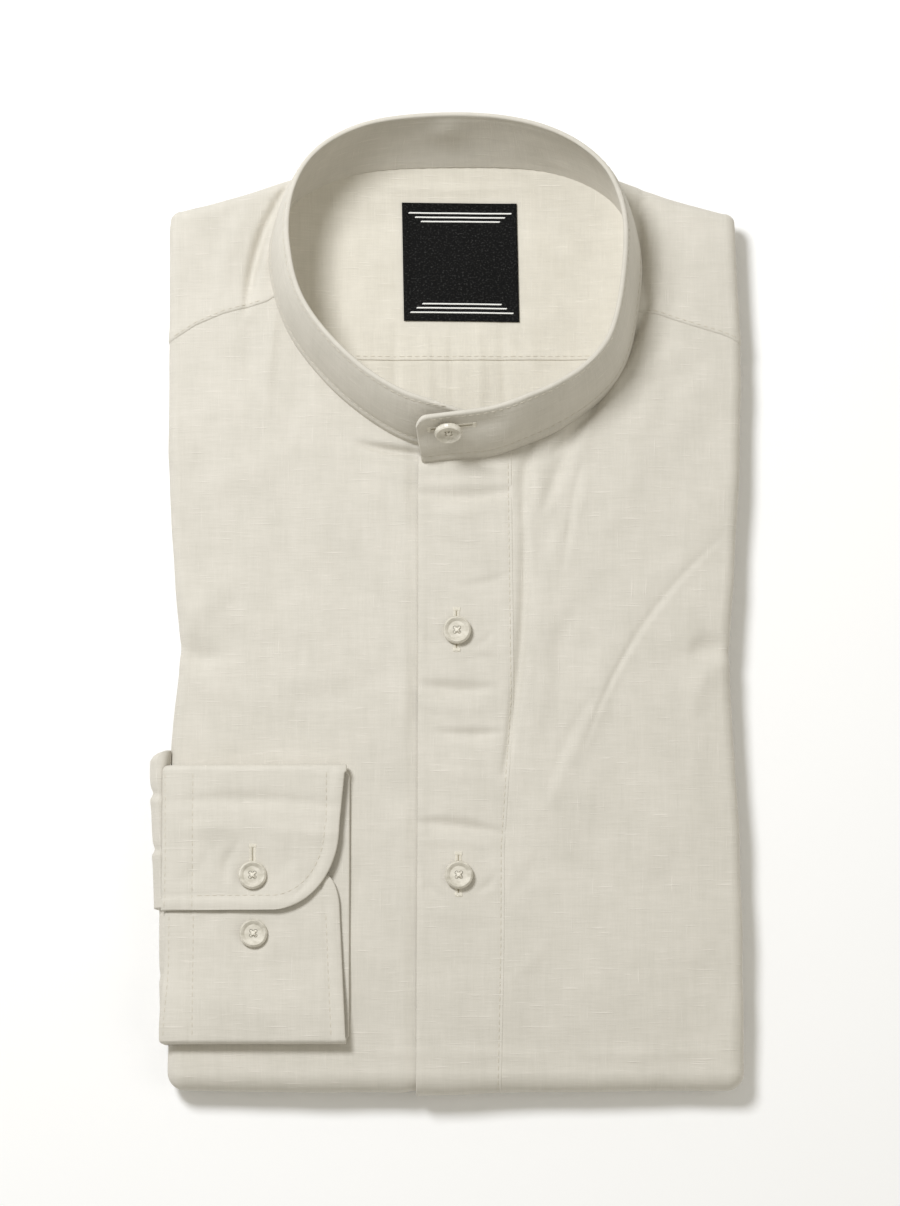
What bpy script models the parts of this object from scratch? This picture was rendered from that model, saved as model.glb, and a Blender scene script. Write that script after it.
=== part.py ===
"""A band-collar linen shirt, buttoned and folded for a shelf, lying flat with its front up.

The collar points to +Y, the hem fold to -Y and up is +Z. Sizes and tables are in millimetres,
and the solids are made in metres. Every cut piece is its own wall of cloth.
"""

import math

import bmesh
import bpy
import numpy as np
from mathutils import Matrix, Vector

MM = 0.001

# Cloth
WALL = 1.2          # one wall of cloth
GAP = 0.3           # air between two pieces at a seam or where one lies on another
TUCK_SIDE = 8.0     # how far a front is tucked under past its side fold
TUCK_FOOT = 12.0    # and past the fold at the foot

# The folded body
SIDE_HEIGHT = 15.0  # top of the stack along its side folds
MID_HEIGHT = 19.0   # top of the stack down its middle
SIDE_ROLL = 4.6     # radius of the side and shoulder folds
FOOT = -195.0       # the fold at the foot
FOOT_LIFT = 1.0     # air under the cloth that is tucked under at the foot
CENTRE_X = 3.0
HALF_WIDTH = 114.0
BACK_FALL = (120.0, 182.0)   # y between which the stack thins to its side height behind the neck
FOOT_FALL = (-150.0, -190.0)  # and y between which it thins towards the foot
FRONT_SIDE_TOP = 104.0   # y of a front's top edge at its side fold
FRONT_NECK_TOP = 62.0    # and at the placket
FOLD_STEPS = 5           # flats round the half turn of a fold
STAND = (-1.1, 2.2, 0.0)     # moves the whole shirt so that its base is centred on the origin

# One row for each height on the body where its side folds change direction.
BODY_SIDES = (
    # y, left, right
    (-190.0, -110.0, 117.0),
    (-140.0, -110.6, 116.7),
    (-100.0, -110.8, 116.4),
    (-50.0, -109.4, 113.8),
    (-22.0, -106.4, 112.4),
    (16.0, -109.6, 115.3),
    (60.0, -111.4, 117.3),
    (107.0, -112.2, 118.4),
    (142.0, -111.8, 116.8),
    (200.0, -111.0, 116.0),
)

# The shoulder line, from the sleeve end to the neck and back.
SHOULDERS = (
    # x, y
    (-112.0, 157.0),
    (-100.0, 160.4),
    (-78.0, 166.8),
    (-63.0, 171.8),
    (-36.0, 180.0),
    (2.0, 185.0),
    (40.0, 180.5),
    (67.0, 171.8),
    (85.0, 165.4),
    (102.0, 160.2),
    (117.0, 156.6),
)

# The seams that join the yoke to the fronts.
YOKE_SEAM_RIGHT = (
    # x, y
    (-112.0, 103.6),
    (-101.0, 110.6),
    (-90.0, 115.2),
    (-79.0, 118.0),
    (-72.6, 119.8),
    (-68.5, 122.4),
)
YOKE_SEAM_LEFT = (
    # x, y
    (75.9, 116.2),
    (84.0, 114.8),
    (98.0, 110.4),
    (110.0, 107.0),
    (118.4, 103.8),
)

# The collar band from its under end, round the back of the neck, to its over end.
COLLAR = (
    # base x, base y, rim x, rim y, rise
    (10.0, 59.4, 10.0, 71.8, 22.6),
    (-14.4, 63.4, -14.5, 77.4, 24.2),
    (-40.4, 80.2, -39.0, 93.6, 24.6),
    (-59.8, 102.6, -57.0, 116.0, 25.0),
    (-68.9, 124.3, -63.0, 138.8, 25.6),
    (-70.0, 145.0, -61.6, 159.8, 26.0),
    (-61.4, 163.0, -52.0, 176.6, 26.2),
    (-36.0, 175.4, -31.0, 188.0, 26.4),
    (2.0, 178.2, 3.0, 191.6, 26.6),
    (40.0, 176.2, 34.0, 188.0, 26.4),
    (65.0, 164.8, 56.0, 177.0, 26.2),
    (75.8, 145.6, 68.0, 160.0, 26.0),
    (76.4, 121.2, 70.6, 136.0, 25.6),
    (68.4, 90.4, 64.0, 101.6, 25.0),
    (45.2, 69.4, 44.6, 82.8, 24.4),
    (19.2, 60.0, 20.0, 74.2, 24.2),
    (-10.4, 57.4, -13.0, 69.8, 23.6),
)
BAND_THICK = 2.0
BAND_BULGE = 1.2    # how far the middle of the band swells outwards
OVERLAP_LIFT = 1.6  # how far the over end stands off the under end
UNDER_END_IN = (0.02, 0.08)  # where along the band its under end comes back to the neckline
OVER_END_OUT = (0.90, 0.95)  # and its over end goes out over it
ON_PLACKET = (0.84, 0.88)    # where along the band its base climbs on to the placket
TIP_ROUND = 0.988            # where along the band the rounding of its over end begins
NECK_RIGHT_SHARE = 0.245  # where along the band the yoke seams meet it, on the wearer's right
NECK_LEFT_SHARE = 0.762   # and left
INNER_YOKE_SHARES = (0.182, 0.797)  # and where the seam inside the neck meets it

# The front placket, folded at its left edge and stitched at its right.
PLACKET = (
    # y, left, right
    (-196.0, -12.2, 21.6),
    (-138.0, -12.0, 22.8),
    (-100.0, -11.8, 23.0),
    (-40.0, -11.6, 27.0),
    (51.0, -11.6, 26.0),
    (70.0, -11.6, 26.0),
)
PLACKET_THICK = 1.6
PLACKET_SINK = 0.5  # how far it presses the front below it down
RIGHT_FRONT_EDGE = 3.0  # the right front's edge, out of sight below it

# Inside the neck
NECK_FLOOR = 9.6     # height of the inner yoke and back over the layers below them
NECK_CENTRE = (1.5, 117.0)
NECK_HALF = (76.0, 60.0)
HOLLOW_REACH = 80.0  # how far below its centre the hollow in the layers runs, under the fronts
HOLLOW_RIM = (1.16, 1.38)  # shares of the neck's half sizes between which the layers rise again
INNER_SEAM = 97.6    # seam between the inner yoke and the back
INNER_SEAM_ENDS = (-57.0, 71.0)
BACK_REACH = (50.0, -30.0, 38.0)  # y, left and right of the back's last row, under the fronts
LABEL = (-18.2, 113.4, 29.4, 162.6)  # left, lower, right, upper
LABEL_THICK = 0.8

# The cuff is one strip, folded flat round the arm's opening.
CUFF_WALL = 1.3
CUFF_SEAM = -109.4   # where the sleeve is sewn to it
CUFF_TOP = -67.2
CUFF_FOOT = -177.4
CUFF_BACK_EDGE = -38.4
CUFF_LAYERS = (0.4, 2.4, 4.4)  # underside of the back, the under end and the over end
OVER_EDGE = (
    # y, x
    (-125.0, -69.0),
    (-123.9, -62.9),
    (-120.7, -57.0),
    (-116.0, -50.7),
    (-110.0, -46.0),
    (-101.4, -43.3),
    (-92.0, -42.2),
    (-76.0, -40.6),
    (-64.0, -39.8),
)
UNDER_EDGE = (
    # y, x
    (-180.0, -39.6),
    (-165.0, -40.4),
    (-147.0, -41.6),
    (-125.0, -42.2),
    (-118.0, -45.0),
    (-111.0, -49.0),
)

# The sleeve is a flat tube round the body's side fold, thicker above the cuff's overlap.
SLEEVE = (
    # y, height of its outer face over the body
    (-177.2, 1.5),
    (-176.6, 2.4),
    (-175.0, 3.0),
    (-170.0, 3.0),
    (-163.0, 3.1),
    (-156.0, 3.1),
    (-148.0, 3.1),
    (-124.3, 3.2),
    (-123.7, 5.0),
    (-95.0, 5.4),
    (-67.6, 5.2),
    (-65.4, 4.0),
    (-64.6, 2.2),
)
SLEEVE_TUCK = 1.7    # height of its outer face where it is tucked under

# The layers folded out of sight, which show only at the edges.
TAIL_FOOT = -158.0   # where the tail's side folds end
TAIL_SHORT = 4.0     # how far the tail stops short of the shoulder folds
TAIL_LAYERS = (
    # share of the height below the fronts' side folds, inset from those folds
    (0.00, 4.2),
    (0.10, 2.2),
    (0.25, 1.5),
    (0.40, 3.4),
    (0.55, 1.6),
    (0.80, 1.4),
    (1.00, 3.8),
)
# Rows up the body, closer together where the fold at the foot takes in the side folds.
UP_THE_BODY = (0.0, 0.022, 0.046, 0.072, 0.10, 0.13, 0.18, 0.25, 0.33, 0.42)
UP_THE_BODY += (0.52, 0.62, 0.72, 0.81, 0.88, 0.94, 1.0)
LAYER_COLUMNS = 16
LAYER_REACH = 2.5  # how far the layers' slots run in past the edge of the cloth tucked into them
SIDE_SLOT = WALL + 3 * GAP  # depth below the fronts' outer face at which the layers fill their folds
FOOT_SLOT = SIDE_SLOT + PLACKET_SINK + 2 * GAP
CORNER_SLOT = 0.7  # and how much deeper still at the corners

# Buttons
BUTTON_RADIUS = 5.6
BUTTON_THICK = 2.6
BUTTON_RIM = 1.2
BUTTON_HOLE = 0.75
BUTTON_HOLE_OFF = 1.25
SHANK_GAP = 0.4
FRONT_BUTTONS = ((4.0, -13.6), (4.7, -111.0))
CUFF_BUTTONS = ((-76.5, -111.3), (-76.1, -134.1))
COLLAR_BUTTON_AT = (0.972, 0.70)  # along the band and up it

LINEN = (0.71, 0.67, 0.58)
LINEN_INSIDE = (0.76, 0.71, 0.62)
LABEL_BLACK = (0.012, 0.012, 0.013)
RESIN = (0.78, 0.74, 0.66)


def material(name, colour, roughness):
    made = bpy.data.materials.new(name)
    made.use_nodes = True
    shader = made.node_tree.nodes["Principled BSDF"]
    shader.inputs["Base Color"].default_value = (*colour, 1.0)
    shader.inputs["Roughness"].default_value = roughness
    shader.inputs["Metallic"].default_value = 0.0
    return made


def column(table, index):
    return [row[index] for row in table]


def along(table, key, index):
    """The value in column index of a table whose first column is key."""
    return float(np.interp(key, column(table, 0), column(table, index)))


def curve_along(table, key, index):
    """The same as along, on a smooth curve through the table's rows."""
    keys, values = column(table, 0), column(table, index)
    key = min(max(key, keys[0]), keys[-1])
    k = min(max(int(np.searchsorted(keys, key)) - 1, 0), len(keys) - 2)
    slopes = np.gradient(values, keys)
    span = keys[k + 1] - keys[k]
    t = (key - keys[k]) / span
    start = values[k] * (2 * t**3 - 3 * t**2 + 1) + slopes[k] * span * (t**3 - 2 * t**2 + t)
    end = values[k + 1] * (3 * t**2 - 2 * t**3) + slopes[k + 1] * span * (t**3 - t**2)
    return float(start + end)


def smooth(low, high, value):
    share = min(max((value - low) / (high - low), 0.0), 1.0)
    return share * share * (3.0 - 2.0 * share)


def mix(a, b, share):
    return a + (b - a) * share


def side_roll(y):
    """Radius of the side folds: near the foot they take in the whole stack."""
    whole = (SIDE_HEIGHT - FOOT_LIFT) / 2
    return mix(SIDE_ROLL, whole, smooth(FOOT_FALL[0], FOOT_FALL[1] + 2.0, y))


def left_core(y):
    return curve_along(BODY_SIDES, y, 1) + side_roll(y)


def right_core(y):
    return curve_along(BODY_SIDES, y, 2) - side_roll(y)


def top_core(x):
    return curve_along(SHOULDERS, x, 1) - SIDE_ROLL


def foot_core():
    return FOOT + (SIDE_HEIGHT - FOOT_LIFT) / 2


def top_height(x, y):
    """Top of the folded stack, which is highest down its middle and falls to the back of the neck."""
    across = 1.0 - min(abs((x - CENTRE_X) / HALF_WIDTH), 1.0) ** 2.6
    back = 1.0 - 0.95 * smooth(*BACK_FALL, y)
    foot = 1.0 - 0.55 * smooth(*FOOT_FALL, y)
    return SIDE_HEIGHT + (MID_HEIGHT - SIDE_HEIGHT) * across * back * foot


def nearest_flat(x, y):
    """The nearest point to (x, y) on the body's flat top, inside its folds."""
    core_y = max(y, foot_core())
    core_x = min(max(x, left_core(core_y)), right_core(core_y))
    core_y = min(core_y, top_core(core_x))
    core_x = min(max(core_x, left_core(core_y)), right_core(core_y))
    return core_x, core_y


def lay(x, y, above=0.0):
    """Where the cloth point (x, y) lies, above the body's form: on top, then round and under its edge."""
    core_x, core_y = nearest_flat(x, y)
    over_x, over_y = x - core_x, y - core_y
    over = math.hypot(over_x, over_y)
    height = top_height(core_x, core_y)
    if over < 1e-6:
        return (core_x, core_y, height + above)
    out_x, out_y = over_x / over, over_y / over
    foot_share = out_y * out_y if out_y < 0 else 0.0
    roll = mix(side_roll(core_y), (height - FOOT_LIFT) / 2, foot_share)
    angle = min(over / roll, math.pi)
    reach = (roll + above) * math.sin(angle) - max(over - math.pi * roll, 0.0)
    z = height - roll + (roll + above) * math.cos(angle)
    return (core_x + out_x * reach, core_y + out_y * reach, z)


def wrap_steps(tuck, roll):
    """Cloth distances past the start of a fold, from its far end back to the start."""
    turns = [math.pi * roll * share for share in np.linspace(1.0, 0.0, FOLD_STEPS + 1)]
    return [math.pi * roll + tuck] + turns


def sheet(name, over, under, look):
    """A closed wall of cloth between two grids of points, its upper and its lower face."""
    rows, columns = len(over), len(over[0])
    mesh = bmesh.new()
    faces = []
    for grid in (over, under):
        faces.append([[mesh.verts.new(Vector(point) * MM) for point in row] for row in grid])
    upper, lower = faces
    for i in range(rows - 1):
        for j in range(columns - 1):
            mesh.faces.new((upper[i][j], upper[i][j + 1], upper[i + 1][j + 1], upper[i + 1][j]))
            mesh.faces.new((lower[i][j], lower[i + 1][j], lower[i + 1][j + 1], lower[i][j + 1]))
    rim = [(0, j) for j in range(columns - 1)]
    rim += [(i, columns - 1) for i in range(rows - 1)]
    rim += [(rows - 1, j) for j in range(columns - 1, 0, -1)]
    rim += [(i, 0) for i in range(rows - 1, 0, -1)]
    for (i, j), (m, n) in zip(rim, rim[1:] + rim[:1]):
        mesh.faces.new((upper[m][n], upper[i][j], lower[i][j], lower[m][n]))
    return finished(name, mesh, look)


def finished(name, mesh, look, smooth_faces=True):
    """The bmesh as an object, with its faces turned outwards."""
    bmesh.ops.recalc_face_normals(mesh, faces=mesh.faces)
    if mesh.calc_volume(signed=True) < 0:
        bmesh.ops.reverse_faces(mesh, faces=mesh.faces)
    data = bpy.data.meshes.new(name)
    mesh.to_mesh(data)
    mesh.free()
    data.materials.append(look)
    if smooth_faces:
        data.shade_smooth()
        data.set_sharp_from_angle(angle=math.radians(40))
    made = bpy.data.objects.new(name, data)
    bpy.context.scene.collection.objects.link(made)
    return made


def laid_sheet(name, grid, look, top=0.0, thick=WALL):
    """A wall on the body's form from a grid of cloth points."""
    over = [[lay(x, y, top) for x, y in row] for row in grid]
    under = [[lay(x, y, top - thick) for x, y in row] for row in grid]
    return sheet(name, over, under, look)


def collar_row(share):
    """The collar table at a share of the band's length, as a smooth curve through its rows."""
    rows = np.array(COLLAR)
    place = share * (len(rows) - 1)
    start = min(int(place), len(rows) - 2)
    t = place - start
    before = rows[max(start - 1, 0)]
    a, b = rows[start], rows[start + 1]
    after = rows[min(start + 2, len(rows) - 1)]
    return 0.5 * (
        2 * a
        + (b - before) * t
        + (2 * before - 5 * a + 4 * b - after) * t**2
        + (3 * a - before - 3 * b + after) * t**3
    )


def band_outward(share):
    """The level direction out of the neck, which the band runs round clockwise seen from above."""
    ahead = collar_row(min(share + 0.004, 1.0))
    behind = collar_row(max(share - 0.004, 0.0))
    run = np.array([ahead[0] - behind[0], ahead[1] - behind[1]])
    run /= np.linalg.norm(run)
    return np.array([-run[1], run[0], 0.0])


def band_point(share, up, off):
    """A point on the band: along it, up it from 0 to 1, and off its middle surface."""
    base_x, base_y, rim_x, rim_y, rise = collar_row(share)
    on_placket = PLACKET_THICK * smooth(*ON_PLACKET, share)
    foot = np.array([base_x, base_y, top_height(base_x, base_y) + 2 * GAP + on_placket])
    lean = np.array([rim_x, rim_y, foot[2] + rise]) - foot
    out = band_outward(share)
    face = out - lean * (out @ lean) / (lean @ lean)
    face /= np.linalg.norm(face)
    lift = OVERLAP_LIFT * smooth(*OVER_END_OUT, share)
    lift -= OVERLAP_LIFT * (1.0 - smooth(*UNDER_END_IN, share))
    swell = BAND_BULGE * math.sin(math.pi * up)
    return foot + lean * up + face * (swell + off) + out * lift


def neckline(x, start, end):
    """Height in the plan of the neckline at x, on the band between two shares of its length."""
    points = sorted(tuple(collar_row(share)[:2]) for share in np.linspace(start, end, 60))
    return float(np.interp(x, column(points, 0), column(points, 1)))


def front_grid(shares, side_core, inner, top_at, outward):
    """Cloth points of a front, in rows up from its foot and columns in from its side fold.

    side_core and inner give x at y, top_at gives the top edge's y at x, and outward is the
    side's sign.
    """
    downs = wrap_steps(TUCK_FOOT, (SIDE_HEIGHT - FOOT_LIFT) / 2)
    asides = wrap_steps(TUCK_SIDE, SIDE_ROLL)[:-1]
    top_xs = [mix(side_core(FRONT_SIDE_TOP), inner(FRONT_NECK_TOP), share) for share in shares]
    columns = [(0.0, top_xs[0], outward * step) for step in asides]
    columns += [(share, x, 0.0) for share, x in zip(shares, top_xs)]
    grid = []
    for down in downs[:-1]:
        y = foot_core() - down
        xs = [mix(side_core(FOOT), inner(FOOT), share) + aside for share, _, aside in columns]
        grid.append([(x, y) for x in xs])
    for up in UP_THE_BODY:
        row = []
        for share, top_x, aside in columns:
            y_top = top_at(top_x)
            y = mix(foot_core(), y_top, up)
            shift = top_x - mix(side_core(y_top), inner(y_top), share)
            row.append((mix(side_core(y), inner(y), share) + shift * up + aside, y))
        grid.append(row)
    return grid


def pressed(x, y, above):
    """A point of the front that runs on below the placket, which presses it down a little."""
    return lay(x, y, above - (PLACKET_SINK + GAP) * smooth(-15.0, -11.9, x))


def make_front_right(look):
    """The wearer's right front. Its inner edge runs on under the placket."""
    seam_end = YOKE_SEAM_RIGHT[-1][0]
    side = left_core(FRONT_SIDE_TOP)
    stops = [side, -102.0, -91.0, -79.0, -73.4, seam_end]
    stops += [-69.5, -67.0, -63.0, -56.0, -46.0, -35.0, -25.0, -15.0, -11.9, RIGHT_FRONT_EDGE]
    shares = [(x - side) / (RIGHT_FRONT_EDGE - side) for x in stops]

    def top_at(x):
        if x <= seam_end + 0.01:
            return along(YOKE_SEAM_RIGHT, x, 1) - GAP
        return neckline(x, 0.03, NECK_RIGHT_SHARE)

    grid = front_grid(shares, left_core, lambda y: RIGHT_FRONT_EDGE, top_at, -1.0)
    over = [[pressed(x, y, 0.0) for x, y in row] for row in grid]
    under = [[pressed(x, y, -WALL) for x, y in row] for row in grid]
    return sheet("front_right", over, under, look)


def make_front_left(look):
    """The wearer's left front, sewn to the placket."""
    seam_start = YOKE_SEAM_LEFT[0][0]
    side = right_core(FRONT_SIDE_TOP)

    def inner(y):
        return along(PLACKET, y, 2) + GAP

    stops = [side, 110.0, 98.0, 84.0, seam_start, 76.0, 73.5, 69.0, 61.0, 50.0, 38.0]
    stops += [inner(FRONT_NECK_TOP)]
    shares = [(side - x) / (side - stops[-1]) for x in stops]

    def top_at(x):
        if x >= seam_start - 0.01:
            return along(YOKE_SEAM_LEFT, x, 1) - GAP
        return neckline(x, NECK_LEFT_SHARE, 0.97)

    grid = front_grid(shares, right_core, inner, top_at, 1.0)
    return laid_sheet("front_left", grid, look)


def make_placket(look):
    """The strip down the front's edge, over the right front and round the fold at the foot."""
    shares = (0.0, 0.06, 0.35, 0.65, 0.94, 1.0)

    def across(y, share):
        return mix(along(PLACKET, y, 1), along(PLACKET, y, 2), share)

    levels = []
    for down in wrap_steps(TUCK_FOOT, (SIDE_HEIGHT - FOOT_LIFT) / 2)[2:-1]:
        levels.append([foot_core() - down] * len(shares))
    top_xs = [across(FRONT_NECK_TOP, share) for share in shares]
    tops = [neckline(x, NECK_LEFT_SHARE, 1.0) - 2 * GAP for x in top_xs]
    for up in UP_THE_BODY:
        levels.append([mix(foot_core(), top, up) for top in tops])
    grid = [[(across(y, share), y) for share, y in zip(shares, row)] for row in levels]
    return laid_sheet("placket", grid, look, PLACKET_THICK - PLACKET_SINK, PLACKET_THICK)


def make_yoke(look):
    """The yoke over both shoulders and behind the collar, from the band out round the shoulder folds."""
    reach = math.pi * SIDE_ROLL + TUCK_SIDE
    left_end = along(YOKE_SEAM_RIGHT, left_core(FRONT_SIDE_TOP), 1) + GAP
    right_end = along(YOKE_SEAM_LEFT, right_core(FRONT_SIDE_TOP), 1) + GAP
    left_corner = (left_core(150.0), top_core(left_core(150.0)))
    right_corner = (right_core(150.0), top_core(right_core(150.0)))
    outline = [(left_core(left_end) - reach, left_end)]
    outline += [(left_core(y) - reach, y) for y in (122.0, left_corner[1] - 2.0)]
    outline += [turned(left_corner, reach, angle) for angle in (165.0, 145.0, 125.0, 105.0)]
    outline += [(x, top_core(x) + reach) for x in (-98.0, -78.0, -63.0, -50.0, -36.0, -17.0, 2.0)]
    outline += [(x, top_core(x) + reach) for x in (20.0, 40.0, 53.0, 67.0, 85.0, 100.0)]
    outline += [turned(right_corner, reach, angle) for angle in (75.0, 55.0, 35.0, 15.0)]
    outline += [(right_core(y) + reach, y) for y in (right_corner[1] - 2.0, 122.0)]
    outline += [(right_core(right_end) + reach, right_end)]
    last = len(outline) - 1
    grid = []
    for k, outer in enumerate(outline):
        share = mix(NECK_RIGHT_SHARE, NECK_LEFT_SHARE, k / last)
        inner = tuple(collar_row(share)[:2] + band_outward(share)[:2] * GAP)
        flat = flat_share(inner, outer)
        stops = [flat * step for step in (0.0, 0.25, 0.5, 0.75)]
        stops += [mix(flat, 1.0, step / reach) for step in wrap_steps(TUCK_SIDE, SIDE_ROLL)[::-1]]
        row = []
        for stop in stops:
            x, y = mix(inner[0], outer[0], stop), mix(inner[1], outer[1], stop)
            if k == 0:
                y = along(YOKE_SEAM_RIGHT, max(x, left_core(y)), 1) + GAP
            if k == last:
                y = along(YOKE_SEAM_LEFT, min(x, right_core(y)), 1) + GAP
            row.append((x, y))
        grid.append(row)
    return laid_sheet("yoke", grid, look)


def flat_share(inner, outer):
    """Share of the way from inner to outer at which a line of cloth leaves the flat top."""
    low, high = 0.0, 1.0
    for _ in range(24):
        middle = (low + high) / 2
        x, y = mix(inner[0], outer[0], middle), mix(inner[1], outer[1], middle)
        if math.dist((x, y), nearest_flat(x, y)) > 1e-6:
            high = middle
        else:
            low = middle
    return low


def turned(corner, reach, degrees):
    """A point at a reach and a bearing from a corner of the body's form."""
    angle = math.radians(degrees)
    return (corner[0] + reach * math.cos(angle), corner[1] + reach * math.sin(angle))


def in_neck(x, y):
    """0 at the middle of the neck, 1 at the band's base line and more outside it."""
    return math.hypot((x - NECK_CENTRE[0]) / NECK_HALF[0], (y - NECK_CENTRE[1]) / NECK_HALF[1])


def neck_height(x, y):
    """Height of the inner yoke and the back, which rise from the neck's floor to the band."""
    rise = smooth(0.88, 1.0, in_neck(x, y)) * smooth(72.0, 98.0, y)
    below = mix(3.0, 0.3, smooth(105.0, 145.0, y))
    return mix(NECK_FLOOR, top_height(x, y) - below, rise)


def neck_sheet(name, grid, look, top=0.0, thick=WALL):
    """A wall on the floor of the neck from a grid of points in the plan."""
    over = [[(x, y, neck_height(x, y) + top) for x, y in row] for row in grid]
    under = [[(x, y, z - thick) for x, y, z in row] for row in over]
    return sheet(name, over, under, look)


def make_inner_yoke(look):
    """The yoke's inner layer, from its seam with the back up to the band."""
    left, right = INNER_SEAM_ENDS
    grid = []
    for f in np.linspace(0.0, 1.0, 17):
        share = mix(INNER_YOKE_SHARES[0], INNER_YOKE_SHARES[1], f)
        out = band_outward(share)
        rim = collar_row(share)[:2] - out[:2] * 3 * GAP
        seam_x = mix(left, right, f)
        stops = (0.0, 0.25, 0.5, 0.72, 0.84, 0.92, 1.0)
        grid.append([(mix(seam_x, rim[0], g), mix(INNER_SEAM + GAP, rim[1], g)) for g in stops])
    return neck_sheet("inner_yoke", grid, look)


def make_back(look):
    """What shows of the back inside the neck. It runs on below the fronts."""
    reach_y, reach_left, reach_right = BACK_REACH
    grid = []
    for g in np.linspace(0.0, 1.0, 6):
        y = mix(INNER_SEAM, reach_y, g)
        left = mix(INNER_SEAM_ENDS[0], reach_left, g)
        right = mix(INNER_SEAM_ENDS[1], reach_right, g)
        grid.append([(mix(left, right, f), y) for f in np.linspace(0.0, 1.0, 11)])
    return neck_sheet("back", grid, look)


def make_label(look):
    left, low, right, high = LABEL
    grid = [[(x, y) for x in np.linspace(left, right, 4)] for y in np.linspace(low, high, 4)]
    return neck_sheet("neck_label", grid, look, 2 * GAP + LABEL_THICK, LABEL_THICK)


def make_collar_band(look):
    """The band, standing round the neck and leaning back, its over end lapped on its under end."""
    over, under = [], []
    for share in (*np.linspace(0.0, 0.985, 42), 0.991, 0.996, 1.0):
        end = smooth(TIP_ROUND, 1.0, share)
        tip = 1.0 - 0.16 * (1.0 - math.sqrt(max(1.0 - end * end, 0.0)))
        ups = [tip * up for up in (0.0, 0.3, 0.6, 0.85, 1.0)]
        over.append([band_point(share, up, BAND_THICK / 2) for up in ups])
        under.append([band_point(share, up, -BAND_THICK / 2) for up in ups])
    return sheet("collar_band", over, under, look)


def cuff_path():
    """The cuff's section from its over end to its under end: y, height, facing and right edge of each row."""
    back, under, over = (low + CUFF_WALL / 2 for low in CUFF_LAYERS)
    path = [(y, over, (0.0, 1.0), x) for y, x in OVER_EDGE if y < CUFF_TOP - 4.0]
    top = CUFF_TOP - (over - back + CUFF_WALL) / 2
    path += folded(top, (over + back) / 2, (over - back) / 2, 1.0)
    back_rows = (-95.0, -122.0, -148.0, -158.0, -168.0)
    path += [(y, back, (0.0, -1.0), CUFF_BACK_EDGE) for y in back_rows]
    foot = CUFF_FOOT + (under - back + CUFF_WALL) / 2
    path += folded(foot, (under + back) / 2, (under - back) / 2, -1.0)
    path += [(y, under, (0.0, 1.0), x) for y, x in UNDER_EDGE if y > CUFF_FOOT + 4.0]
    return path


def folded(centre_y, centre_h, radius, turn):
    """Rows round a fold of the cuff: turn is 1 at its top, where the path goes down, -1 at its foot."""
    rows = []
    for k in range(5):
        angle = math.pi / 2 - math.pi * k / 4 if turn > 0 else -math.pi / 2 - math.pi * k / 4
        facing = (math.cos(angle), math.sin(angle))
        edge = mix(OVER_EDGE[-1][1], CUFF_BACK_EDGE, k / 4)
        if turn < 0:
            edge = mix(CUFF_BACK_EDGE, UNDER_EDGE[0][1], k / 4)
        rows.append((centre_y + radius * facing[0], centre_h + radius * facing[1], facing, edge))
    return rows


def make_cuff(look):
    half = CUFF_WALL / 2
    over, under = [], []
    for y, height, facing, edge in cuff_path():
        flat = left_core(y)
        xs = [CUFF_SEAM, (CUFF_SEAM + flat) / 2]
        xs += [mix(flat, edge, f) for f in np.linspace(0.0, 1.0, 6)]
        over.append([lay(x, y + facing[0] * half, height + facing[1] * half) for x in xs])
        under.append([lay(x, y - facing[0] * half, height - facing[1] * half) for x in xs])
    return sheet("cuff", over, under, look)


def make_sleeve(look):
    """What shows of the sleeve: a flat tube from the cuff round the side fold and in below it."""
    over, under = [], []
    for y, height in SLEEVE:
        start = left_core(y)
        xs = [CUFF_SEAM - GAP]
        xs += [start - math.pi * side_roll(y) * share for share in (0.32, 0.48, 0.64, 0.82, 1.0)]
        xs += [start - math.pi * side_roll(y) - TUCK_SIDE]
        row = []
        for x in xs:
            turned_under = smooth(0.5, 1.0, (start - x) / (math.pi * side_roll(y)))
            row.append(lay(x, y, mix(height, min(height, SLEEVE_TUCK), turned_under)))
        over.append(row)
        under.append([lay(x, y, 2 * GAP) for x in xs])
    return sheet("sleeve", over, under, look)


def layer_height(x, y):
    """Top of the hidden layers: below the fronts and yoke, and lower below the neck."""
    below_fronts = top_height(x, y) - WALL - PLACKET_SINK - 3 * GAP
    below_neck = NECK_FLOOR - WALL - 2 * GAP
    across = (x - NECK_CENTRE[0]) / NECK_HALF[0]
    below = min(y - NECK_CENTRE[1], 0.0) / HOLLOW_REACH
    outside = smooth(*HOLLOW_RIM, math.hypot(across, below))
    return mix(min(below_neck, below_fronts), below_fronts, outside)


def core_point(u, v, shrink=0.0, foot_y=None, short=0.0):
    """A point of the body's flat top at shares u across and v up it, or of that shape made smaller."""
    foot_y = foot_core() if foot_y is None else foot_y
    top_x = mix(left_core(150.0), right_core(150.0), u)
    y = mix(foot_y, top_core(top_x) - short, v)
    return mix(left_core(y) + shrink, right_core(y) - shrink, u), y


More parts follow.
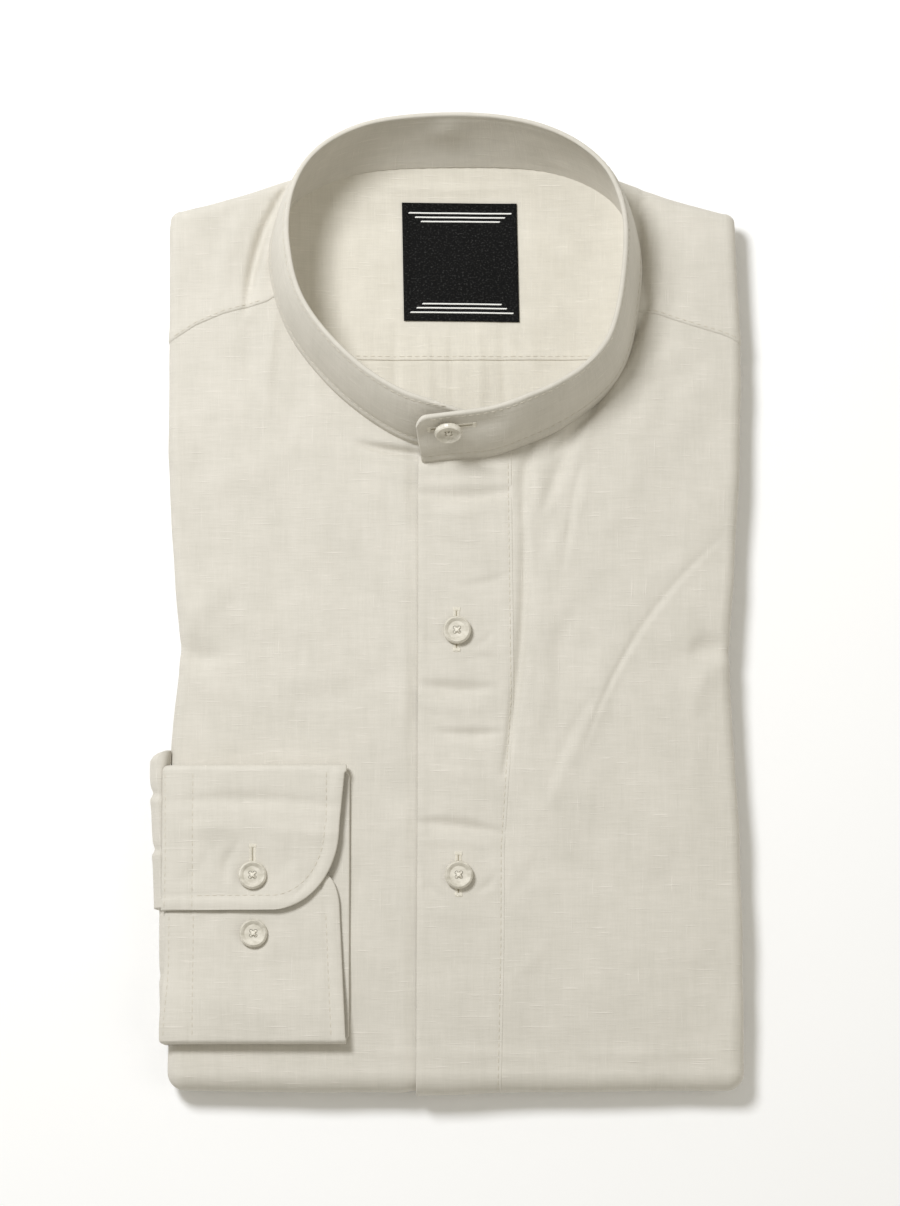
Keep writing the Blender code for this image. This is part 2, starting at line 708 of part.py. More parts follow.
def layer_edge():
    """The places round the hidden layers' edge, anticlockwise from the right foot: u, v and bearing."""
    corners = ((1.0, 0.0, -90.0), (1.0, 1.0, 0.0), (0.0, 1.0, 90.0), (0.0, 0.0, 180.0))
    ups = UP_THE_BODY[:-1]
    acrosses = [step / LAYER_COLUMNS for step in range(LAYER_COLUMNS)]
    sides = (
        [(1.0, v) for v in ups],
        [(1.0 - u, 1.0) for u in acrosses],
        [(0.0, v) for v in UP_THE_BODY[:0:-1]],
        [(u, 0.0) for u in acrosses],
    )
    places = []
    for (u, v, bearing), side in zip(corners, sides):
        places += [(u, v, bearing + turn) for turn in (0.0, 22.5, 45.0, 67.5)]
        places += [(*place, bearing + 90.0) for place in side]
    return places


def make_hidden_layers(look):
    """One solid for what is folded behind: the body's back in the side folds, tail and other sleeve."""
    mesh = bmesh.new()
    places = layer_edge()
    rings = []
    for share, inset in TAIL_LAYERS:
        points = [tail_point(place, share, inset) for place in places]
        rings.append([mesh.verts.new(Vector(point) * MM) for point in points])
    rings.append(inner_ring(mesh, places, tail_slot))
    rings.append(inner_ring(mesh, places, fold_slot))
    for degrees in (-75.0, -30.0, 15.0, 60.0):
        points = [fold_point(place, degrees) for place in places]
        rings.append([mesh.verts.new(Vector(point) * MM) for point in points])
    rings.append(inner_ring(mesh, places, top_point))
    for lower, upper in zip(rings, rings[1:]):
        for k in range(len(places)):
            m = (k + 1) % len(places)
            corners = [lower[k], lower[m], upper[m], upper[k]]
            distinct = list(dict.fromkeys(corners))
            if len(distinct) > 2:
                mesh.faces.new(distinct)
    mesh.faces.new(rings[0][::-1])
    fill_top(mesh, places, rings[-1])
    return finished("hidden_layers", mesh, look)


def inner_ring(mesh, places, point_at):
    """A ring of vertices inside the corners, where places with the same u and v share one vertex."""
    made = {}
    ring = []
    for u, v, _ in places:
        key = (round(u, 6), round(v, 6))
        if key not in made:
            made[key] = mesh.verts.new(Vector(point_at(u, v)) * MM)
        ring.append(made[key])
    return ring


def fill_top(mesh, places, ring):
    """The grid of faces inside the last ring."""
    known = {(round(u, 6), round(v, 6)): vert for (u, v, _), vert in zip(places, ring)}
    grid = []
    for v in UP_THE_BODY:
        row = []
        for j in range(LAYER_COLUMNS + 1):
            key = (round(j / LAYER_COLUMNS, 6), round(v, 6))
            if key not in known:
                known[key] = mesh.verts.new(Vector(top_point(*key)) * MM)
            row.append(known[key])
        grid.append(row)
    for lower, upper in zip(grid, grid[1:]):
        for j in range(LAYER_COLUMNS):
            mesh.faces.new((lower[j], lower[j + 1], upper[j + 1], upper[j]))


def top_point(u, v):
    x, y = core_point(u, v)
    return x, y, layer_height(x, y)


def tail_space(x, y):
    """Height free for the tail below the fronts' side folds, and below the sleeve where it comes out."""
    space = top_height(x, y) - 2 * side_roll(y) - GAP
    beside_sleeve = smooth(-10.0, -40.0, y) * smooth(0.0, -60.0, x)
    return space - (SLEEVE_TUCK + 2 * GAP) * beside_sleeve


def tail_point(place, share, inset):
    u, v, bearing = place
    x, y = core_point(u, v, 0.0, TAIL_FOOT, TAIL_SHORT)
    angle = math.radians(bearing)
    foot_share = max(-math.sin(angle), 0.0) ** 2
    height = mix(tail_space(x, y), FOOT_LIFT + WALL, foot_share) * share
    reach = SIDE_ROLL - inset
    return x + reach * math.cos(angle), y + reach * math.sin(angle), height


def tail_slot(u, v):
    shrink = TUCK_SIDE + LAYER_REACH
    x, y = core_point(u, v, shrink, TAIL_FOOT + LAYER_REACH, TAIL_SHORT + shrink)
    height = min(tail_space(x, y), SIDE_HEIGHT - 2 * SIDE_ROLL - GAP)
    return x, y, mix(FOOT_LIFT + WALL, height, smooth(0.0, 0.04, v))


def fold_slot(u, v):
    shrink = TUCK_SIDE + LAYER_REACH
    x, y = core_point(u, v, shrink, foot_core() + TUCK_FOOT + LAYER_REACH, shrink)
    edge_x, edge_y = core_point(u, v)
    height = top_height(edge_x, edge_y) - 2 * side_roll(y) + SIDE_SLOT
    return x, y, mix(FOOT_LIFT + FOOT_SLOT, height, smooth(0.0, 0.04, v))


def fold_point(place, degrees):
    """A point on the rounded edge that fills the fronts' folds."""
    u, v, bearing = place
    x, y = core_point(u, v)
    angle = math.radians(bearing)
    foot_share = max(-math.sin(angle), 0.0) ** 2
    height = top_height(x, y)
    roll = mix(side_roll(y), (height - FOOT_LIFT) / 2, foot_share)
    fill = roll - mix(SIDE_SLOT, FOOT_SLOT, foot_share)
    if u in (0.0, 1.0) and v in (0.0, 1.0):
        fill -= CORNER_SLOT
    reach = fill * math.cos(math.radians(degrees))
    z = height - roll + fill * math.sin(math.radians(degrees))
    return x + reach * math.cos(angle), y + reach * math.sin(angle), z


def button_mesh():
    """A four-hole button with a raised rim, its back at z = 0."""
    profile = (
        # radius, z
        (0.0, 0.0),
        (BUTTON_RADIUS - 1.0, 0.0),
        (BUTTON_RADIUS - 0.2, 0.5),
        (BUTTON_RADIUS, 1.2),
        (BUTTON_RADIUS - 0.3, 2.1),
        (BUTTON_RADIUS - 0.8, BUTTON_THICK),
        (BUTTON_RADIUS - BUTTON_RIM - 0.2, 2.2),
        (BUTTON_RADIUS - BUTTON_RIM - 0.9, 1.6),
        (0.0, 1.4),
    )
    mesh = bmesh.new()
    points = [mesh.verts.new(Vector((radius, 0.0, z)) * MM) for radius, z in profile]
    edges = [mesh.edges.new(pair) for pair in zip(points, points[1:])]
    bmesh.ops.spin(
        mesh,
        geom=points + edges,
        cent=(0, 0, 0),
        axis=(0, 0, 1),
        angle=math.tau,
        steps=24,
        use_merge=True,
    )
    bmesh.ops.remove_doubles(mesh, verts=mesh.verts, dist=1e-6)
    bmesh.ops.recalc_face_normals(mesh, faces=mesh.faces)
    holes = bmesh.new()
    for k in range(4):
        angle = math.radians(45.0 + 90.0 * k)
        off = Vector((math.cos(angle), math.sin(angle), 0.0)) * BUTTON_HOLE_OFF
        bmesh.ops.create_cone(
            holes,
            cap_ends=True,
            segments=8,
            radius1=BUTTON_HOLE * MM,
            radius2=BUTTON_HOLE * MM,
            depth=2 * BUTTON_THICK * MM,
            matrix=Matrix.Translation(off * MM),
        )
    look = material("button resin", RESIN, 0.25)
    blank = finished("button_blank", mesh, look)
    cutter = finished("button_holes", holes, look, smooth_faces=False)
    for helper in (blank, cutter):
        helper.hide_render = True
        helper.display_type = "WIRE"
    cut = blank.modifiers.new("holes", "BOOLEAN")
    cut.operation = "DIFFERENCE"
    cut.object = cutter
    bpy.context.view_layer.update()
    graph = bpy.context.evaluated_depsgraph_get()
    made = bpy.data.meshes.new_from_object(blank.evaluated_get(graph))
    made.name = "button"
    bpy.data.objects.remove(blank)
    bpy.data.objects.remove(cutter)
    return made


def place_button(name, mesh, point, facing):
    made = bpy.data.objects.new(name, mesh)
    made.location = Vector(point) * MM
    made.rotation_mode = "QUATERNION"
    made.rotation_quaternion = Vector(facing).to_track_quat("Z", "Y")
    bpy.context.scene.collection.objects.link(made)


def make_buttons():
    mesh = button_mesh()
    on_placket = PLACKET_THICK - PLACKET_SINK + SHANK_GAP
    for k, (x, y) in enumerate(FRONT_BUTTONS):
        place_button(f"front_button_{k + 1}", mesh, lay(x, y, on_placket), (0, 0, 1))
    for k, ((x, y), low) in enumerate(zip(CUFF_BUTTONS, CUFF_LAYERS[:0:-1])):
        on_cuff = low + CUFF_WALL + SHANK_GAP
        place_button(f"cuff_button_{k + 1}", mesh, lay(x, y, on_cuff), (0, 0, 1))
    share, up = COLLAR_BUTTON_AT
    face = band_point(share, up, BAND_THICK / 2)
    facing = band_point(share, up, BAND_THICK) - face
    facing /= np.linalg.norm(facing)
    place_button("collar_button", mesh, face + facing * SHANK_GAP, facing)


def main():
    for old in list(bpy.data.objects):
        bpy.data.objects.remove(old)
    linen = material("linen", LINEN, 0.9)
    inside = material("linen inside", LINEN_INSIDE, 0.9)
    make_front_right(linen)
    make_front_left(linen)
    make_placket(linen)
    make_yoke(linen)
    make_inner_yoke(inside)
    make_back(inside)
    make_label(material("label satin", LABEL_BLACK, 0.55))
    make_collar_band(linen)
    make_cuff(linen)
    make_sleeve(linen)
    make_hidden_layers(linen)
    make_buttons()
    for piece in bpy.data.objects:
        piece.location += Vector(STAND) * MM


main()
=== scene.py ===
"""The looks of a folded band-collar linen shirt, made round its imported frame.

The shirt lies flat with its front up, its collar towards +Y. Sizes and tables are in millimetres in
the shirt's own layout, and the meshes are made in metres. Each cut piece is a thin shell of cloth on
the form that the folded stack gives it. Left and right are as seen from above, towards -X and +X, but
the fronts and the yoke's seams are named for the wearer's side, which is the other one.
"""

import math

import bpy
import numpy as np
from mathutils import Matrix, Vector, noise


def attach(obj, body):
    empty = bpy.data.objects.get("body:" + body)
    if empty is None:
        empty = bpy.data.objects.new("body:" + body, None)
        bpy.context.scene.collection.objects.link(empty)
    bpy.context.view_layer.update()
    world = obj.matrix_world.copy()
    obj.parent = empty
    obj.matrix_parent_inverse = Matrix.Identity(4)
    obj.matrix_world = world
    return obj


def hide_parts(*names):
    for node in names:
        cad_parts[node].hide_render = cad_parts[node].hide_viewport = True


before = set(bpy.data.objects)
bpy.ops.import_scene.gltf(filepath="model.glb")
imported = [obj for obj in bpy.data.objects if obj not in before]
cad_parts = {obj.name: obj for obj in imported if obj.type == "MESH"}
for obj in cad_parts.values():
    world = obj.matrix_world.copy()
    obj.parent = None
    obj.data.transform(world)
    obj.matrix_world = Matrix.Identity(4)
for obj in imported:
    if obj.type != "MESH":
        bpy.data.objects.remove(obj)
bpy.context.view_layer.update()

MM = 0.001
STAND = np.array((-1.1, 2.2, 0.0))  # from the layout's origin to the middle of the shirt's base

# ---------------------------------------------------------------- sizes of the folded shirt

CLOTH = 0.9          # a panel's wall, with the seam allowance and interlining behind it
SIDE_HEIGHT = 15.0   # top of the stack along its side folds
MID_HEIGHT = 19.0    # and down its middle
SIDE_ROLL = 4.6      # radius of the side and shoulder folds
TUCK_SIDE = 8.0      # how far a front is tucked under past its side fold
TUCK_FOOT = 12.0     # and past the fold at the foot
SIDE_REACH = math.pi * SIDE_ROLL + TUCK_SIDE  # cloth past the start of a side fold
FOOT = -195.0
FOOT_LIFT = 1.0      # how far the fold at the foot stands off the ground
FOOT_ROLL = (SIDE_HEIGHT - FOOT_LIFT) / 2
FOOT_CORE = FOOT + FOOT_ROLL
CENTRE_X = 3.0
HALF_WIDTH = 114.0
SHOULDER_Y = 150.0   # where the side folds turn into the shoulder folds
SHOULDER_ENDS = (-101.0, 104.0)  # x between which the yoke's outer edge follows the shoulder folds
YOKE_SIDE_Y = 104.0  # where the yoke's seams go round the side folds
NECK_FOOT_Y = 62.0   # where the band comes lowest on the fronts
GAP = 0.3            # between two layers of cloth that lie on each other
UNDER = 3.0          # how far a panel runs on below the one that is sewn over its edge
SEAM_RISE = 0.35     # how far the upper one's edge stands over it
SEAM_FALL = 4.0      # how far the yoke's seams drop as they go round the side folds
SEAM_FADE = 16.0     # rows of the yoke over which its end bends to its seam

BODY_SIDES = (
    # y, left, right
    (-190.0, -110.0, 117.0),
    (-140.0, -110.6, 116.7),
    (-100.0, -110.8, 116.4),
    (-50.0, -109.4, 113.8),
    (-22.0, -106.4, 112.4),
    (16.0, -109.6, 115.3),
    (60.0, -111.4, 117.3),
    (107.0, -112.2, 118.4),
    (142.0, -111.8, 116.8),
    (200.0, -111.0, 116.0),
)
SHOULDERS = (
    # x, y
    (-112.0, 157.0),
    (-100.0, 160.4),
    (-78.0, 166.8),
    (-63.0, 171.8),
    (-36.0, 180.0),
    (2.0, 185.0),
    (40.0, 180.5),
    (67.0, 171.8),
    (85.0, 165.4),
    (102.0, 160.2),
    (117.0, 156.6),
)
YOKE_SEAM_RIGHT = (
    # x, y
    (-112.0, 103.6),
    (-101.0, 110.6),
    (-90.0, 115.2),
    (-79.0, 118.0),
    (-72.6, 119.8),
    (-68.5, 122.4),
)
YOKE_SEAM_LEFT = (
    # x, y
    (75.9, 116.2),
    (84.0, 114.8),
    (98.0, 110.4),
    (110.0, 107.0),
    (118.4, 103.8),
)
COLLAR = (
    # base x, base y, rim x, rim y, rise
    (10.0, 59.4, 10.0, 71.8, 22.6),
    (-14.4, 63.4, -14.5, 77.4, 24.2),
    (-40.4, 80.2, -39.0, 93.6, 24.6),
    (-59.8, 102.6, -57.0, 116.0, 25.0),
    (-68.9, 124.3, -63.0, 138.8, 25.6),
    (-70.0, 145.0, -61.6, 159.8, 26.0),
    (-61.4, 163.0, -52.0, 176.6, 26.2),
    (-36.0, 175.4, -31.0, 188.0, 26.4),
    (2.0, 178.2, 3.0, 191.6, 26.6),
    (40.0, 176.2, 34.0, 188.0, 26.4),
    (65.0, 164.8, 56.0, 177.0, 26.2),
    (75.8, 145.6, 68.0, 160.0, 26.0),
    (76.4, 121.2, 70.6, 136.0, 25.6),
    (68.4, 90.4, 64.0, 101.6, 25.0),
    (45.2, 69.4, 44.6, 82.8, 24.4),
    (19.2, 60.0, 20.0, 74.2, 24.2),
    (-10.4, 57.4, -13.0, 69.8, 23.6),
)
BAND_LENGTH = 470.0  # round its base
BAND_HEIGHT = 28.0   # from its base to its rim, up its outer face
BAND_RISE = 26.0     # and between its seams, for its soft bends
BAND_THICK = 2.0
BAND_BULGE = 1.2     # how far its middle stands out
OVERLAP_LIFT = 1.6   # how far the over end stands out on the under end
NECK_RIGHT_SHARE = 0.245  # where the yoke's seams meet the band, as shares of its length
NECK_LEFT_SHARE = 0.762
INNER_YOKE_SHARES = (0.182, 0.797)

PLACKET = (
    # y, left, right
    (-196.0, -12.2, 21.6),
    (-138.0, -12.0, 22.8),
    (-100.0, -11.8, 23.0),
    (-40.0, -11.6, 27.0),
    (51.0, -11.6, 26.0),
)
PLACKET_WIDTH = 37.0   # width and length from the fold at the foot, for its numbers of places
PLACKET_LENGTH = 250.0
PLACKET_THICK = 1.6
PLACKET_SINK = 0.5     # how far it is pressed into the right front
PLACKET_SEAM_IN = 1.6  # from its right edge to its stitching
RIGHT_FRONT_EDGE = 3.0
FRONT_LENGTH = 290.0   # from the fold at the foot to the top seam, for its number of rows

NECK_FLOOR = 9.6
NECK_SLOPE = 24.0      # width of the slope from the band's base down to the neck's floor
INNER_SEAM = 97.6      # y of the seam between the inner yoke and the back
INNER_SEAM_ENDS = (-57.0, 71.0)
BACK_REACH = (50.0, -30.0, 38.0)  # y, left and right of the back's lower edge, under the fronts
BACK_WIDTH = 128.0     # for its number of places

CUFF_SEAM = -109.4    # left edge of the cuff, where the sleeve is sewn to it
CUFF_TOP = -67.2
CUFF_FOOT = -177.4
CUFF_OVER_END = -125.0
CUFF_UNDER_END = -111.0
CUFF_OVER_RIGHTS = (-42.4, -40.0)   # right edge of its over layer, from its end to its fold
CUFF_FOLD_RIGHTS = (-39.6, -39.5)   # of the folds at its top and its foot
CUFF_BACK_RIGHT = -38.4
CUFF_UNDER_RIGHTS = (-39.7, -42.2)  # of its under layer, from its fold to its end
CUFF_ROUND = (26.6, 33.0)           # half sizes of the round corner of its over end, across and along
CUFF_WALL = 1.3
CUFF_LAYERS = (0.4, 2.4, 4.4)       # heights of the undersides of its back, under and over layers
CUFF_STITCH_IN = 5.8                # from its edge to the stitching inside it
CUFF_ROWS = (0.9, 9.0)              # from its left edge to the two rows beside the sleeve
CUFF_FULLNESS = 1.3                 # how much its layers bulge between their ends
CUFF_PUFF = 2.8                     # how much fuller the fold at its foot is than its layers

SLEEVE = (
    # y, height of its outer face over the body
    (-177.2, 1.5),
    (-176.6, 2.4),
    (-175.0, 3.0),
    (-170.0, 3.0),
    (-163.0, 3.1),
    (-148.0, 3.1),
    (-124.3, 3.2),
    (-123.7, 5.4),
    (-95.0, 6.2),
    (-72.0, 7.6),
    (-65.0, 7.8),
    (-62.4, 6.2),
    (-61.0, 2.6),
)
SLEEVE_STEP = (-124.3, -124.0, -123.7)  # rows where it steps up to the cuff's over layer
SLEEVE_TUCK = 1.7    # thickness of what is tucked under the side fold

TAIL_FOOT = -158.0
TAIL_SHORT = 4.0     # how far the layers behind stop short of the shoulder folds

BUTTON_FACE = 1.4    # height of a button's dished middle over its back
BUTTON_HOLE_OFF = 1.25  # from a button's middle to each of its four holes
BUTTON_OFF = 0.4     # from the cloth to a button's back
FRONT_BUTTONS = ((4.0, -13.6), (4.7, -111.0))
CUFF_BUTTONS = ((-76.5, -111.3), (-76.1, -134.1))
COLLAR_BUTTON_AT = (0.972, 0.70)  # shares along the band and up it

# ---------------------------------------------------------------- creases placed one by one

CREASE_DEPTH = 1.3  # how much deeper the body's creases are than their table's heights

# Creases that cross the fronts and the yoke. A trough has a negative height, a ridge a positive one,
# and lip is the share of it that shows as a step down towards the crease's right.
BODY_CREASES = (
    # from x, from y, to x, to y, bow, width, height, lip
    (109.0, 23.5, 55.5, -58.0, 6.6, 1.8, -0.52, 0.38),
    (58.0, -40.0, 40.0, -78.0, 1.5, 4.0, -0.55, 0.2),
    (96.0, 18.0, 60.0, -44.0, 9.5, 9.0, 0.30, 0.0),
    (66.0, -30.0, 40.0, -84.0, 1.0, 7.0, 0.42, 0.3),
    (53.5, 52.0, 47.0, 13.0, 0.4, 2.2, -0.55, 0.5),
    (58.0, 50.0, 44.0, 24.0, -1.5, 5.0, 0.30, 0.0),
    (46.0, 40.0, 36.0, 4.0, 2.0, 5.0, -0.25, 0.2),
    (30.5, 36.0, 22.5, -70.0, -3.4, 3.0, -1.75, 0.16),
    (38.0, 6.0, 42.0, -30.0, 2.0, 6.5, 0.40, 0.0),
    (40.0, -30.0, 34.0, -66.0, 1.5, 6.0, 0.35, 0.2),
    (29.0, -70.0, 40.0, -84.0, 1.0, 5.0, -0.55, 0.2),
    (26.0, -118.0, 36.0, -102.0, 1.0, 4.5, -0.35, 0.2),
    (27.0, -150.0, 38.0, -138.0, 1.0, 5.0, 0.35, 0.2),
    (112.0, -22.0, 96.0, -22.5, 2.0, 7.5, -1.50, 0.0),
    (110.0, -24.0, 98.0, -44.0, 2.0, 7.0, 0.70, 0.2),
    (110.0, -16.0, 92.0, 0.0, 2.0, 8.0, 0.55, 0.0),
    (-106.0, -20.0, -90.0, -23.0, 2.0, 7.5, -1.50, 0.0),
    (-104.0, -14.0, -86.0, 6.0, -2.0, 9.0, 0.60, 0.0),
    (-104.0, -27.0, -84.0, -40.0, 2.0, 8.0, 0.55, 0.0),
    (-68.5, 116.0, -72.0, 76.0, 1.0, 3.4, 0.60, 0.1),
    (-77.0, 116.0, -79.0, 88.0, 1.0, 4.6, -0.60, 0.1),
    (-60.0, 102.0, -64.0, 66.0, -3.0, 6.0, -0.40, 0.3),
    (-52.0, 92.0, -48.0, 60.0, 2.5, 7.0, 0.35, 0.2),
    (-34.0, 62.0, -1.0, 57.6, 1.0, 2.5, -2.3, 0.2),
    (-34.0, 52.0, -14.0, 48.0, 0.5, 4.0, 0.40, 0.0),
    (-24.0, 46.0, -14.0, 12.0, 1.5, 5.0, -0.45, 0.3),
    (-20.0, -6.0, -15.0, -48.0, -1.0, 5.0, 0.35, 0.3),
    (-26.0, -66.0, -14.0, -88.0, 1.0, 5.5, -0.40, 0.2),
    (-22.0, -116.0, -13.5, -150.0, 1.0, 5.0, -0.35, 0.2),
    (-65.0, 168.0, -80.5, 118.0, 3.0, 3.3, -2.8, 0.0),
    (-71.0, 158.0, -73.0, 128.0, 1.0, 2.4, 0.50, 0.0),
    (-80.0, 158.0, -90.0, 128.0, 2.0, 6.0, 0.45, 0.2),
    (-84.0, 162.0, -96.0, 126.0, 3.0, 7.0, -0.45, 0.2),
    (79.5, 166.0, 81.0, 118.0, 3.0, 4.0, -1.70, 0.1),
    (88.0, 150.0, 84.0, 106.0, -2.0, 5.0, 0.60, 0.1),
    (80.0, 118.0, 64.0, 86.0, -1.0, 3.4, -2.30, 0.2),
    (68.0, 94.0, 44.0, 60.0, -2.0, 4.0, -1.90, 0.1),
    (60.0, 66.0, 42.0, 48.0, 2.0, 6.5, 0.50, 0.2),
    (94.0, 100.0, 66.0, 76.0, 4.0, 7.0, 0.50, 0.2),
    (33.0, 60.0, 31.0, 34.0, 0.6, 4.2, -1.60, 0.2),
    (52.0, 68.0, 40.0, 38.0, 0.6, 5.0, -1.50, 0.2),
    (104.0, 96.0, 84.0, 70.0, 4.0, 8.0, -0.40, 0.1),
    (-98.0, 86.0, -84.0, 50.0, -4.0, 9.0, 0.35, 0.0),
    (-70.0, 22.0, -58.0, -20.0, 4.0, 9.0, -0.60, 0.0),
    (-96.0, 40.0, -60.0, 58.0, -4.0, 10.0, 0.55, 0.0),
    (-46.0, 30.0, -30.0, -4.0, 3.0, 8.0, -0.50, 0.1),
    (-92.0, -4.0, -50.0, -14.0, 3.0, 8.0, 0.50, 0.0),
    (-56.0, -40.0, -24.0, -30.0, 3.0, 8.0, -0.50, 0.1),
    (50.0, -8.0, 44.0, -40.0, 3.0, 7.0, -0.45, 0.1),
    (78.0, 66.0, 58.0, 20.0, -3.0, 9.0, 0.50, 0.0),
    (66.0, -96.0, 92.0, -120.0, 4.0, 10.0, -0.40, 0.0),
    (48.0, -120.0, 60.0, -160.0, -4.0, 9.0, 0.40, 0.0),
    (-30.0, -180.5, 40.0, -181.5, 0.4, 4.0, 0.40, 0.0),
    (52.0, -181.0, 106.0, -180.0, 0.6, 4.0, 0.35, 0.0),
)

# Creases of the placket's own.
PLACKET_CREASES = (
    # from x, from y, to x, to y, bow, width, height, lip
    (-12.0, 42.0, 26.0, 43.2, 1.6, 4.2, -1.55, 0.3),
    (-12.0, 51.0, 23.0, 52.0, -1.0, 4.0, 0.75, 0.0),
    (-9.0, 33.5, 16.0, 35.0, 0.8, 3.4, 0.40, 0.0),
    (-6.0, 24.0, 14.0, 20.0, 0.8, 3.4, -0.30, 0.2),
    (6.0, 5.0, 25.0, 9.5, 0.8, 2.6, -0.40, 0.4),
    (6.0, -26.0, 20.0, -24.5, -1.0, 2.6, -0.35, 0.4),
    (-10.5, -35.0, 17.5, -36.5, 1.0, 4.0, -1.55, 0.2),
    (-10.0, -43.0, 14.0, -44.5, 0.6, 3.8, 0.60, 0.0),
    (-3.0, -54.0, 21.0, -54.0, 0.8, 3.0, -1.15, 0.3),
    (-6.0, -68.0, 16.0, -72.0, 0.8, 3.6, 0.35, 0.3),
    (-10.5, -90.0, 20.0, -93.5, -0.6, 3.6, -1.45, 0.3),
    (-10.0, -97.5, 15.0, -99.0, -1.0, 3.0, 0.45, 0.0),
    (-8.6, -113.0, -3.4, -118.5, 0.6, 2.4, -0.60, 0.2),
    (18.5, -112.0, 12.4, -117.5, -0.6, 2.4, -0.60, 0.2),
    (-8.6, -15.0, -3.8, -20.0, 0.6, 2.4, -0.45, 0.2),
    (17.5, -15.0, 11.6, -20.0, -0.6, 2.4, -0.45, 0.2),
    (-9.5, -126.0, 18.0, -127.0, 0.6, 4.0, 0.30, 0.0),
)

# Soft pleats inside the neck, down from the label.
NECK_CREASES = (
    # from x, from y, to x, to y, bow, width, height, lip
    (-20.5, 112.0, -19.0, 70.0, 0.8, 3.4, -0.75, 0.2),
    (-9.0, 110.0, -7.0, 70.0, -0.6, 3.0, 0.55, 0.0),
    (2.0, 111.0, 4.0, 70.0, 0.8, 2.8, -0.55, 0.2),
    (12.5, 110.0, 13.0, 70.0, -0.6, 3.0, 0.60, 0.0),
    (22.5, 112.0, 25.0, 70.0, 0.8, 3.0, -0.65, 0.3),
    (34.0, 118.0, 38.0, 74.0, 1.5, 5.0, 0.45, 0.0),
    (-36.0, 140.0, -33.0, 100.0, -2.0, 6.0, 0.40, 0.2),
    (-50.0, 150.0, -44.0, 112.0, -2.0, 6.0, -0.45, 0.2),
    (42.0, 166.0, 50.0, 128.0, 3.0, 6.0, -0.40, 0.0),
    (-26.0, 168.0, 30.0, 168.5, 1.0, 2.6, 0.35, 0.0),
)

CUFF_CREASES = (
    # along the strip from its over end, x, to along, x, bow, width, height, lip
    (43.0, -106.0, 41.0, -46.0, 1.5, 4.4, -1.25, 0.1),
    (31.0, -106.0, 31.5, -80.0, 1.0, 4.8, 0.90, 0.1),
    (32.5, -72.0, 30.0, -44.0, -1.0, 4.8, 0.80, 0.1),
    (12.0, -87.0, 25.0, -83.0, 1.5, 3.2, -1.15, 0.1),
    (12.0, -104.0, 22.0, -94.0, -1.0, 4.6, -0.60, 0.0),
    (14.0, -66.0, 26.0, -62.0, -1.5, 5.0, -0.70, 0.0),
    (168.0, -92.0, 196.0, -88.0, 2.0, 9.0, 0.40, 0.0),
    (176.0, -58.0, 206.0, -66.0, 2.0, 9.0, -0.40, 0.0),
    (214.0, -100.0, 222.0, -86.0, 1.0, 6.0, -0.35, 0.0),
    (165.0, -104.0, 158.0, -60.0, 1.0, 5.0, -0.30, 0.0),
)

# ---------------------------------------------------------------- small sums


def smooth(low, high, value):
    """A soft step from 0 at low to 1 at high."""
    share = np.clip((value - low) / (high - low), 0.0, 1.0)
    return share * share * (3.0 - 2.0 * share)


def mix(a, b, share):
    return a + (b - a) * share


def column(table, index):
    return np.array([row[index] for row in table], float)


def along(table, key, index=1):
    """Straight between a table's rows, whose first column is key."""
    return np.interp(key, column(table, 0), column(table, index))


def curve_along(table, key, index=1):
    """The same on a smooth curve through the rows."""
    keys, values = column(table, 0), column(table, index)
    key = np.clip(key, keys[0], keys[-1])
    k = np.clip(np.searchsorted(keys, key) - 1, 0, len(keys) - 2)
    slopes = np.gradient(values, keys)
    span = keys[k + 1] - keys[k]
    t = (key - keys[k]) / span
    start = values[k] * (2 * t**3 - 3 * t**2 + 1) + slopes[k] * span * (t**3 - 2 * t**2 + t)
    return start + values[k + 1] * (3 * t**2 - 2 * t**3) + slopes[k + 1] * span * (t**3 - t**2)


def graded(length, step, edge=0.0):
    """Places from 0 to length about a step apart, with finer ones within an edge's width of both ends."""
    count = max(int(round(length / step)), 2)
    places = list(np.linspace(0.0, length, count + 1))
    if edge:
        fine = [edge * share for share in (0.08, 0.25, 0.55, 1.0)]
        places += fine + [length - place for place in fine]
    return np.array(sorted(places))


def ridge(place, middle, width):
    """A smooth ridge, 1 high down its middle."""
    return np.exp(-(((place - middle) / width) ** 2))


def rounded(distance, half):
    """Half of a wall's thickness at a distance in from its edge, so that the edge is round."""
    inside = np.clip(1.0 - distance / half, 0.0, 1.0)
    return half * np.sqrt(np.maximum(1.0 - inside**2, 0.012))


def ripple(x, y, size, seed=0.0):
    """Smooth uneven waves from about -1 to 1, a size across, at arrays of places."""
    flat = np.broadcast_arrays(x, y)
    values = [noise.noise(Vector((a / size, b / size, seed))) for a, b in zip(*(f.ravel() for f in flat))]
    return np.array(values).reshape(flat[0].shape)


